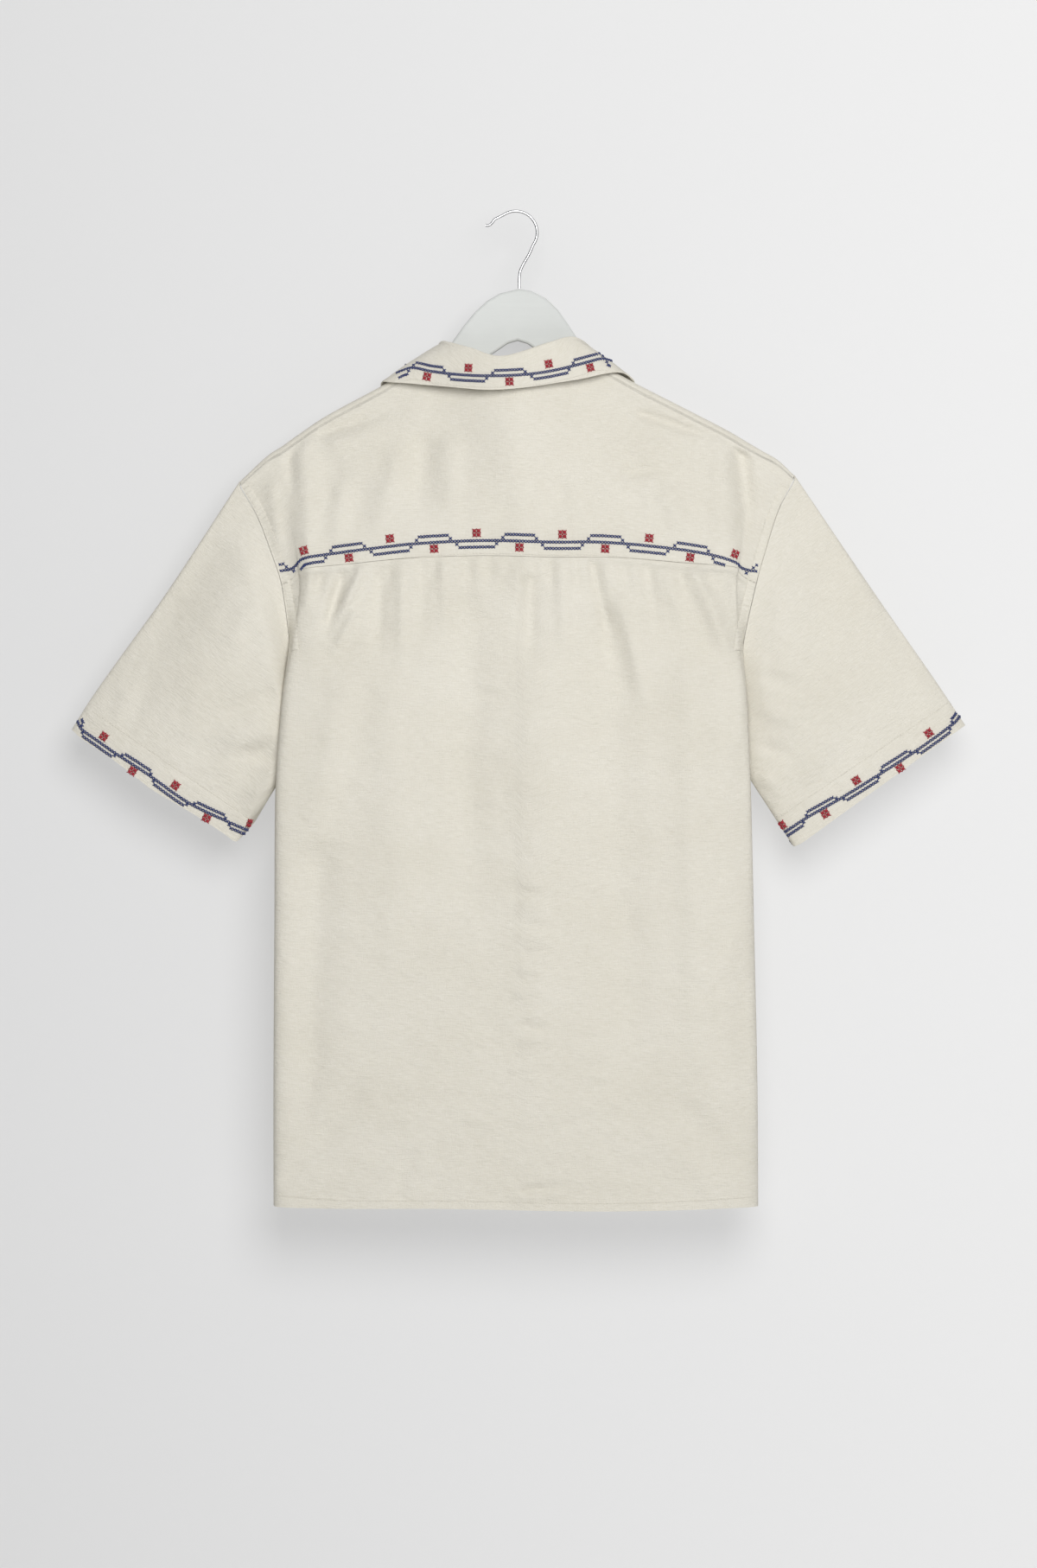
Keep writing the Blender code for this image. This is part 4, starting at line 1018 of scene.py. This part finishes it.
# %% Collar
COLLAR = Table(
    "at nx ny nz fx fy fz lx ly lz",
    (0.00, -0.0620, 0.0270, -0.2050, -0.0640, 0.0330, -0.1980, -0.1080, 0.0270, -0.2280),
    (0.10, -0.0745, 0.0190, -0.1700, -0.0705, 0.0250, -0.1540, -0.1210, 0.0200, -0.1950),
    (0.20, -0.0835, 0.0110, -0.1420, -0.0730, 0.0110, -0.1260, -0.1270, 0.0135, -0.1640),
    (0.26, -0.0835, 0.0000, -0.1335, -0.0710, -0.0010, -0.1192, -0.1262, 0.0000, -0.1562),
    (0.32, -0.0800, -0.0120, -0.1370, -0.0640, -0.0150, -0.1204, -0.1190, -0.0140, -0.1570),
    (0.40, -0.0520, -0.0240, -0.1430, -0.0450, -0.0290, -0.1262, -0.0800, -0.0240, -0.1608),
    (0.50, -0.0120, -0.0300, -0.1475, -0.0152, -0.0360, -0.1341, -0.0180, -0.0395, -0.1654),
    (0.60, 0.0320, -0.0240, -0.1430, 0.0280, -0.0300, -0.1215, 0.0480, -0.0275, -0.1568),
    (0.68, 0.0700, -0.0120, -0.1430, 0.0500, -0.0165, -0.1155, 0.0900, -0.0128, -0.1482),
    (0.74, 0.0765, 0.0000, -0.1410, 0.0640, -0.0010, -0.1225, 0.1050, 0.0000, -0.1530),
    (0.80, 0.0765, 0.0110, -0.1490, 0.0660, 0.0110, -0.1300, 0.1080, 0.0135, -0.1640),
    (0.90, 0.0670, 0.0190, -0.1700, 0.0630, 0.0250, -0.1550, 0.1060, 0.0200, -0.1950),
    (1.00, 0.0550, 0.0270, -0.2050, 0.0570, 0.0330, -0.1980, 0.0990, 0.0270, -0.2280),
)
COLLAR_ROLL, COLLAR_BOW, COLLAR_UNEVEN, COLLAR_EDGE = 0.0022, 0.0010, 0.0005, 0.0004
STAND_SHARE, ROLL_SHARE = 0.28, 0.20


def collar_surface(u, v):
    """u runs along the collar, v from the neck seam over the fold to the edge of the leaf."""
    neck, fold, leaf = (Vector([COLLAR.at(name + axis, u) for axis in "xyz"]) for name in "nfl")
    away = Vector((leaf.x - neck.x, leaf.y - neck.y, 0.0)).normalized()
    centre = fold - Vector((0.0, 0.0, COLLAR_ROLL))
    if v <= STAND_SHARE:
        return mix(neck, centre - away * COLLAR_ROLL, v / STAND_SHARE)
    if v <= STAND_SHARE + ROLL_SHARE:
        angle = math.pi * (v - STAND_SHARE) / ROLL_SHARE
        return centre + COLLAR_ROLL * (Vector((0.0, 0.0, math.sin(angle))) - away * math.cos(angle))
    t = (v - STAND_SHARE - ROLL_SHARE) / (1 - STAND_SHARE - ROLL_SHARE)
    outer = centre + away * COLLAR_ROLL
    uneven = COLLAR_UNEVEN * noise.noise(Vector((u * 26, t * 2.5, 5.0)))
    lift = COLLAR_BOW * math.sin(math.pi * t) + uneven
    edge = COLLAR_EDGE * ease((t - 0.90) / 0.05)
    return mix(outer, leaf, t) + Vector((0.0, 0.0, lift)) + away * edge


collar = cut_cloth("shirt_collar", collar_surface, 200, 50, flip=True)
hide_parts("collar")

# %% [markdown]
# Threads lie on the cloth, so their places are found with a needle: a ray that goes straight through the
# drawing from behind, or from the front, and stops at the first cloth it meets. A line of such places is
# measured along the cloth itself, so that stitches stay evenly spaced where it turns away.

# %% Finding places on the cloth
def touch(names, x, z, facing=-1):
    """Where a needle meets these cuts, and the direction that the cloth faces there."""
    best = None
    for name in names:
        place, normal, *_ = CUTS[name].ray_cast(Vector((x, facing, z)), Vector((0.0, -facing, 0.0)))
        if place and normal.y * facing > 0 and (best is None or place.y * facing > best[0].y * facing):
            best = place, normal
    return best


class Line:
    """A line on the cloth, drawn from behind or from the front, that stitches follow."""

    def __init__(self, names, points, facing=-1, step=0.0005):
        self.names, self.facing = names, facing
        runs = [0.0]
        for first, second in zip(points, points[1:]):
            runs.append(runs[-1] + math.dist(first, second))
        drawn = Table("run x z", *((run, *point) for run, point in zip(runs, points)))
        self.marks, self.length, last = [], 0.0, None
        for i in range(int(runs[-1] / step) + 1):
            x, z = drawn.at("x", i * step), drawn.at("z", i * step)
            found = touch(names, x, z, facing)
            if found:
                if last is not None:
                    self.length += min((found[0] - last).length, 4 * step)
                last = found[0]
                self.marks.append((self.length, x, z))
        self.lengths = [mark[0] for mark in self.marks]

    def place(self, length):
        """The drawn x, z and direction at a length along the cloth."""
        last = len(self.marks) - 1
        i = min(max(bisect.bisect_right(self.lengths, length) - 1, 0), last - 1)
        before, low, high, after = (self.marks[min(max(n, 0), last)] for n in (i - 3, i, i + 1, i + 4))
        way = Vector((after[1] - before[1], after[2] - before[2])).normalized()
        span = high[0] - low[0]
        t = (length - low[0]) / span if span else 0.0
        return mix(low[1], high[1], t), mix(low[2], high[2], t), way

    def length_at(self, x):
        """The length along the cloth at which the line is nearest to an x."""
        return min(self.marks, key=lambda mark: abs(mark[1] - x))[0]

    def frame(self, length, aside=0.0, turn=0.0):
        """A matrix for a stitch: along the line, up beside it, and out of the cloth."""
        if not 0 <= length <= self.length:
            return None
        x, z, way = self.place(length)
        up = Vector((-way.y, way.x)) if way.x > 0 else Vector((way.y, -way.x))
        found = touch(self.names, x + up.x * aside, z + up.y * aside, self.facing)
        if found is None:
            return None
        place, normal = found
        along = Vector((way.x, 0.0, way.y))
        along = (along - normal * along.dot(normal)).normalized()
        stand = Matrix((along, normal.cross(along), normal)).transposed().to_4x4()
        stand.translation = place
        return stand @ Matrix.Rotation(turn, 4, "Z")


middle_seam = Line(["shirt_yoke"], [(-0.1, -0.3), (0.1, -0.3)])
print("a line of 0.2 m across the yoke is", round(middle_seam.length, 4), "m along the cloth")

# %% [markdown]
# A stitch is a short length of thread that comes up through the cloth, arches over it and goes down
# again. One is modelled with a cone operator and a few cuts, and then repeated as arrays, which is quick
# and makes one object of hundreds of stitches.

# %% One stitch, repeated
def strand(length, radius, lift, sides=5, cuts=2, turn=0.0):
    """A short arched length of thread, as arrays of vertices and triangles."""
    thread = bmesh.new()
    bmesh.ops.create_cone(
        thread, cap_ends=True, segments=sides, radius1=radius, radius2=radius, depth=length
    )
    upright = [edge for edge in thread.edges if abs(edge.verts[0].co.z - edge.verts[1].co.z) > length / 2]
    bmesh.ops.subdivide_edges(thread, edges=upright, cuts=cuts)
    laid = Matrix.Rotation(math.pi / 2, 3, "Y")
    bmesh.ops.rotate(thread, verts=thread.verts, cent=(0, 0, 0), matrix=laid)
    for vert in thread.verts:
        share = abs(vert.co.x) / (length / 2)
        thin = 1 - 0.35 * share**3
        vert.co.y *= thin
        vert.co.z = vert.co.z * thin * 0.85 + lift * (1 - share * share)
    turned = Matrix.Rotation(turn, 3, "Z")
    bmesh.ops.rotate(thread, verts=thread.verts, cent=(0, 0, 0), matrix=turned)
    bmesh.ops.triangulate(thread, faces=thread.faces)
    thread.verts.ensure_lookup_table()
    points = numpy.array([vert.co for vert in thread.verts])
    faces = numpy.array([[vert.index for vert in face.verts] for face in thread.faces])
    thread.free()
    return points, faces


def together(*shapes):
    """Several shapes as one."""
    starts = numpy.cumsum([0] + [len(points) for points, _ in shapes])
    points = numpy.concatenate([points for points, _ in shapes])
    return points, numpy.concatenate([faces + start for (_, faces), start in zip(shapes, starts)])


def repeat(name, shape, stands, finish, raised=0.0):
    """One object with a shape at every stand."""
    points, faces = shape
    placed = []
    for stand in stands:
        if stand is not None:
            turn = numpy.array(stand.to_3x3())
            placed.append(points @ turn.T + numpy.array(stand.translation) + turn[:, 2] * raised)
    steps = numpy.arange(len(placed))[:, None, None] * len(points)
    mesh = bpy.data.meshes.new(name)
    mesh.from_pydata(numpy.concatenate(placed).tolist(), [], (faces[None] + steps).reshape(-1, 3).tolist())
    mesh.polygons.foreach_set("use_smooth", [True] * len(mesh.polygons))
    print(name, "repeats", len(placed), "times with", len(mesh.polygons), "triangles")
    return add_piece(name, mesh, finish)


# %% [markdown]
# The border is counted cross-stitch, worked from a chart. One row runs straight through. A second one
# steps up two rows over ten crosses and down two rows under twelve, with three crosses on each slope, so
# that the chart repeats every 28 crosses. A red figure of four larger crosses sits in each hollow.

# %% The chart of the border
REPEAT = 28
HUMP_MIDDLE, HOLLOW_MIDDLE = 4.5, 18.5
CHART = [2] * 10 + [1, 0, -1] + [-2] * 12 + [-1, 0, 1]
LEAN, STRAY = 0.05, 0.00008      # how far a cross may lean, in radians, and lie off its row
THREAD = 0.00064
NAVY_LIFT, RED_LIFT = 0.00030, 0.00040
SEATED = 0.00014      # how far the ends of a strand lie above the face below them


def cross(width, height, radius, lift):
    """Two arched strands over each other."""
    slope, size = math.atan2(height, width), math.hypot(width, height)
    return together(
        strand(size, radius, lift, turn=slope),
        strand(size, radius, lift + radius * 1.1, turn=-slope),
    )


def star(size, radius, lift):
    """A cross with an upright one over it."""
    length, thin, above = size * 0.92, radius * 0.85, lift + radius * 1.6
    upright = [strand(length, thin, above, turn=turn) for turn in (0.0, math.pi / 2)]
    return together(cross(size, size, radius, lift), *upright)


def border(name, line, start, pitch, rise, red_above, red_below, red_size):
    """Work the chart along a line. start is the length at the middle of a hump."""
    first = math.ceil((0 - start) / pitch + HUMP_MIDDLE)
    last = math.floor((line.length - start) / pitch + HUMP_MIDDLE)
    navy, red = [], []
    for count in range(first, last + 1):
        length = start + (count - HUMP_MIDDLE) * pitch
        for row in {0, CHART[count % REPEAT]}:
            lean = random.uniform(-LEAN, LEAN)
            navy.append(line.frame(length, row * rise + random.uniform(-STRAY, STRAY), lean))
    for middle, aside in ((HUMP_MIDDLE, red_below), (HOLLOW_MIDDLE, red_above)):
        for turn in range(first // REPEAT - 1, last // REPEAT + 2):
            length = start + (middle + turn * REPEAT - HUMP_MIDDLE) * pitch
            corners = [(along, up) for along in (-0.5, 0.5) for up in (-0.5, 0.5)]
            figure = [line.frame(length + along * red_size, aside + up * red_size) for along, up in corners]
            if None not in figure:
                red += figure
    navy_cross = cross(pitch, pitch * 0.92, THREAD, NAVY_LIFT)
    red_star = star(red_size * 1.06, THREAD, RED_LIFT)
    return [
        repeat(f"{name}_navy", navy_cross, navy, NAVY, SEATED),
        repeat(f"{name}_red", red_star, red, RED, SEATED),
    ]


print("the chart has", len(CHART), "crosses")

# %% [markdown]
# On the yoke the border runs a little above the seam, from armhole to armhole. On the sleeves it
# follows the cuffs and goes on round to the front, and on the collar it follows the edge of the leaf.

# %% The border on the yoke, the sleeves and the collar
# the crosses' pitch, a row's rise, the heights of the red figures above and below, a red cross
YOKE_COUNT = (0.00284, 0.00296, 0.0072, -0.0058, 0.0038)
CUFF_COUNT = (0.00288, 0.00218, 0.0066, -0.0054, 0.0038)
COLLAR_COUNT = (0.00276, 0.00250, 0.0068, -0.0056, 0.0037)
YOKE_BORDER_HEIGHT, YOKE_BORDER_REACH, YOKE_HUMP = 0.01376, 0.165, 0.0012
BORDER_LEFT = (317, 662), (328, 660.5), (337, 659), (342, 656), (351, 647.6), (380, 642.4)
BORDER_RIGHT = (820, 642.5), (850, 651.5), (858, 658), (866, 660.5), (877, 662)
CUFF_LINES = {
    -1: (
        (88, 828), (91, 836.5), (95, 843.5), (112, 856), (133, 870.5), (173, 896.5), (218, 928),
        (261, 949), (291, 962),
    ),
    1: (
        (1113, 824), (1110, 829), (1103, 837), (1063, 866), (1018, 895), (973, 923), (932, 946.5),
        (904, 965),
    ),
}
CUFF_HUMPS = {-1: 157.9, 1: 1037.2}
COLLAR_LINE = (
    (458, 433), (467, 429), (478, 426.5), (500, 431), (535, 435.5), (569, 437), (600, 436),
    (626.5, 433), (655, 427), (682, 419.5), (696, 416), (705, 417.5), (709.5, 419),
)
COLLAR_HUMP = 589
COLLAR_ENDS = {-1: (0.215, 0.0), 1: (0.785, 1.0)}


def spots(points):
    return [spot(*point) for point in points]


def seen_line(surface, shares, up):
    """A line on the front of a surface, from its shares along at one share up."""
    return [(point.x, point.z) for point in (surface(share, up) for share in shares)]


seam_rows = [(x, z + YOKE_BORDER_HEIGHT) for x, z in YOKE_SEAM.rows if abs(x) < YOKE_BORDER_REACH]
line = Line(["shirt_yoke"], spots(BORDER_LEFT) + seam_rows + spots(BORDER_RIGHT))
borders = {"yoke": border("yoke_border", line, line.length_at(YOKE_HUMP), *YOKE_COUNT)}
for side, name in SIDE_NAMES.items():
    cut = [f"shirt_sleeve_{name}"]
    line = Line(cut, spots(CUFF_LINES[side]))
    hump = line.length_at(spot(CUFF_HUMPS[side], 0)[0])
    borders[name] = border(f"sleeve_{name}_border", line, hump, *CUFF_COUNT)
    line = Line(cut, seen_line(functools.partial(sleeve_surface, side), from_to(0.52, 0.98, 24), 0.048), 1)
    borders[name] += border(f"sleeve_{name}_border_front", line, line.length * 0.3, *CUFF_COUNT)
line = Line(["shirt_collar"], spots(COLLAR_LINE))
borders["collar"] = border("collar_border", line, line.length_at(spot(COLLAR_HUMP, 0)[0]), *COLLAR_COUNT)
for side, name in SIDE_NAMES.items():
    line = Line(["shirt_collar"], seen_line(collar_surface, from_to(*COLLAR_ENDS[side], 16), 0.72), 1)
    borders["collar"] += border(f"collar_border_{name}", line, line.length * 0.5, *COLLAR_COUNT)

# %% [markdown]
# Each armhole is felled: the seam's edges are folded flat onto the body and stitched down. That band is
# thicker than the cloth beside it, and the stitching draws it into small even puckers.

# %% Felled armholes
FELL_WIDTH, FELL_HEIGHT, FELL_WALL = 0.0082, 0.00042, 0.0003
PUCKER_LENGTH, PUCKER_HEIGHT = 0.0046, 0.00042
ARMHOLE_INSET = 0.0006
BODY_CUTS = ["shirt_yoke", "shirt_back"]


def armhole_place(side, z, inward):
    """A place at a length in from the armhole, square to its edge."""
    edge, near = SIDES[side], 0.002
    slope = (edge.at("edge_x", z + near) - edge.at("edge_x", z - near)) / (2 * near)
    way = Vector((-side, side * slope)).normalized()
    return edge.at("edge_x", z) - side * ARMHOLE_INSET + way.x * inward, z + way.y * inward


def pucker(run, side):
    """The wave that stitching draws into the band, uneven along it."""
    wave = math.sin(2 * math.pi * run / PUCKER_LENGTH + 1.6 * noise.noise(Vector((run * 90, side, 0))))
    return PUCKER_HEIGHT * wave * (0.6 + 0.6 * noise.noise(Vector((run * 60, 3, side))))


def felled_band(side, name, top, bottom, facing, names):
    """A strip along the armhole, lying on the body."""
    band, places = new_grid(200, 6)
    lay = band.loops.layers.uv.new("cloth")
    for face in band.faces:
        for loop in face.loops:
            u, v = places[loop.vert]
            loop[lay].uv = v * FELL_WIDTH, u * (top - bottom)
    missed = []
    for vert, (u, v) in places.items():
        found = touch(names, *armhole_place(side, mix(top, bottom, u), v * FELL_WIDTH), facing)
        if found is None:
            missed.append(vert)
            continue
        bell = math.sin(math.pi * min(max(v, 0.0), 1.0)) ** 0.6
        height = FELL_HEIGHT + FELL_WALL + pucker((top - bottom) * u * 1.12, side)
        vert.co = found[0] + found[1] * (bell * height - FELL_WALL)
    bmesh.ops.delete(band, geom=missed, context="VERTS")
    bmesh.ops.recalc_face_normals(band, faces=band.faces)
    band.normal_update()
    if sum(face.normal.y for face in band.faces) * facing < 0:
        bmesh.ops.reverse_faces(band, faces=band.faces)
    piece = add_piece(name, smooth_mesh(name, band), CLOTH, wall=FELL_WALL)
    print(name, "has", len(piece.data.polygons), "faces")
    return piece


for side, name in SIDE_NAMES.items():
    front_cuts = [f"shirt_front_{name}", "shirt_yoke"]
    felled_band(side, f"armhole_{name}", -0.2560, -0.4060, -1, BODY_CUTS)
    felled_band(side, f"armhole_{name}_front", -0.2620, -0.4900, 1, front_cuts)

# %% [markdown]
# The topstitching is undyed thread, a little under three millimetres to a stitch. It runs beside the
# yoke seam, round the armholes, along both hems and the collar, and down the placket.

# %% Topstitching
STITCH_PITCH, STITCH_STRAY, STITCH_SEATED = 0.0030, 0.0001, 0.00012
STITCH = strand(0.0024, 0.00022, 0.00022, sides=4, cuts=1)
ABOVE_SEAM, BELOW_BORDER = 0.0017, 0.0106
BESIDE_FELL, PLACKET_WIDTH, FRONT_EDGE = FELL_WIDTH + 0.0014, 0.0265, -0.012
CUFF_STITCHES = {-1: ((106.7, 822.5), (295, 951)), 1: ((1096.7, 813), (896, 949))}


def stitch_line(names, points, facing=-1):
    line, strays = Line(names, points, facing, step=0.0008), (-STITCH_STRAY, STITCH_STRAY)
    count = int(line.length / STITCH_PITCH)
    return [line.frame((i + 0.5) * STITCH_PITCH, random.uniform(*strays)) for i in range(count)]


hem_points = [(x, HEM.at("z", x) + HEM_TURN) for x in from_to(-0.2235, 0.2185, 20)]
stitches = {
    "yoke": stitch_line(["shirt_yoke"], [(x, z + ABOVE_SEAM) for x, z in YOKE_SEAM.rows]),
    "back": stitch_line(["shirt_back"], hem_points),
    "collar": stitch_line(["shirt_collar"], [(x, z - BELOW_BORDER) for x, z in spots(COLLAR_LINE[1:-1])]),
}
for side, name in SIDE_NAMES.items():
    front, cuff, armhole = [f"shirt_front_{name}"], [f"shirt_sleeve_{name}"], {}
    for facing, bottom, cuts in ((-1, -0.404, BODY_CUTS), (1, -0.488, front + ["shirt_yoke"])):
        heights = from_to(-0.258, bottom, 24)
        points = [(SIDES[side].at("edge_x", z) - side * BESIDE_FELL, z - 0.004) for z in heights]
        armhole[facing] = stitch_line(cuts, points, facing)
    stitches["yoke"] += armhole[-1]
    placket = [(front_inner_x(side, z) + side * PLACKET_WIDTH, z) for z in from_to(-0.330, -0.914, 20)]
    hem = [(x, z) for x, z in hem_points if x * side > FRONT_EDGE]
    stitches[f"front_{name}"] = armhole[1] + stitch_line(front, placket, 1) + stitch_line(front, hem, 1)
    behind = stitch_line(cuff, spots(CUFF_STITCHES[side]))
    before = seen_line(functools.partial(sleeve_surface, side), from_to(0.51, 0.99, 24), 0.135)
    stitches[f"sleeve_{name}"] = behind + stitch_line(cuff, before, 1)
for key, stands in stitches.items():
    repeat(f"topstitch_{key}", STITCH, stands, SEWING, STITCH_SEATED)

# %% [markdown]
# The buttons are sewn on with two crossing threads. The hook is bent from one length of wire, so it is a
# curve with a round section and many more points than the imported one.

# %% Button thread and hook
BUTTON_COUNT, BUTTON_DISH = 6, 0.00075
sewn_through = []
for number in range(1, BUTTON_COUNT + 1):
    low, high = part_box(f"button_{number}")
    middle = Vector(((low.x + high.x) / 2, high.y - BUTTON_DISH, (low.z + high.z) / 2))
    sewn_through.append(Matrix.Translation(middle) @ Matrix.Rotation(-math.pi / 2, 4, "X"))
button_thread = repeat("button_thread", cross(0.0029, 0.0029, 0.00028, 0.0004), sewn_through, SEWING)

WIRE_RADIUS, WIRE_SIDES = 0.0014, 6
HOOK_TIP = [
    (-0.0304, -0.0118), (-0.0284, -0.0120), (-0.0262, -0.0112), (-0.0242, -0.0092), (-0.0222, -0.0062),
]
HOOK_X, HOOK_Z, HOOK_RADIUS, HOOK_ANGLES = -0.0026, -0.0184, 0.0198, (125, -35)
SHANK = Table(
    "z x",
    (-0.0702, 0.0007), (-0.0610, 0.0007), (-0.0540, 0.0016), (-0.0468, 0.0050), (-0.0385, 0.0098),
    (-0.0298, 0.0136),
)
path = list(HOOK_TIP)
for angle in from_to(*HOOK_ANGLES, 44):
    angle = math.radians(angle)
    path.append((HOOK_X + HOOK_RADIUS * math.cos(angle), HOOK_Z + HOOK_RADIUS * math.sin(angle)))
path += [(SHANK.at("x", z), z) for z in from_to(-0.0330, -0.0702, 16)]
wire = bpy.data.curves.new("hook_wire", "CURVE")
wire.dimensions, wire.bevel_depth, wire.bevel_resolution = "3D", WIRE_RADIUS, WIRE_SIDES
wire.use_fill_caps = True
spline = wire.splines.new("POLY")
spline.points.add(len(path) - 1)
for point, (x, z) in zip(spline.points, path):
    point.co = (x, 0.0, z, 1.0)
spline.use_smooth = True
hook = add_piece("hook_wire", wire, STEEL)
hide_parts("hook")
print("the hook's wire has", len(path), "points")

# %% [markdown]

# %% Sheets
print("the cloth is cut into its pieces")

# %% [markdown]
# The hanger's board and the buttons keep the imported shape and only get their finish.

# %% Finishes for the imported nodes
FINISHES = {"hanger": PAINT, "hook": STEEL, "button": SHELL}
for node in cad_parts:
    thing, finish = bpy.data.objects.get(node), FINISHES.get(node.split("_")[0])
    if finish and thing and thing.type == "MESH":
        for slot in thing.material_slots:
            slot.material = finish
print(len(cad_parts), "packed nodes looked at")
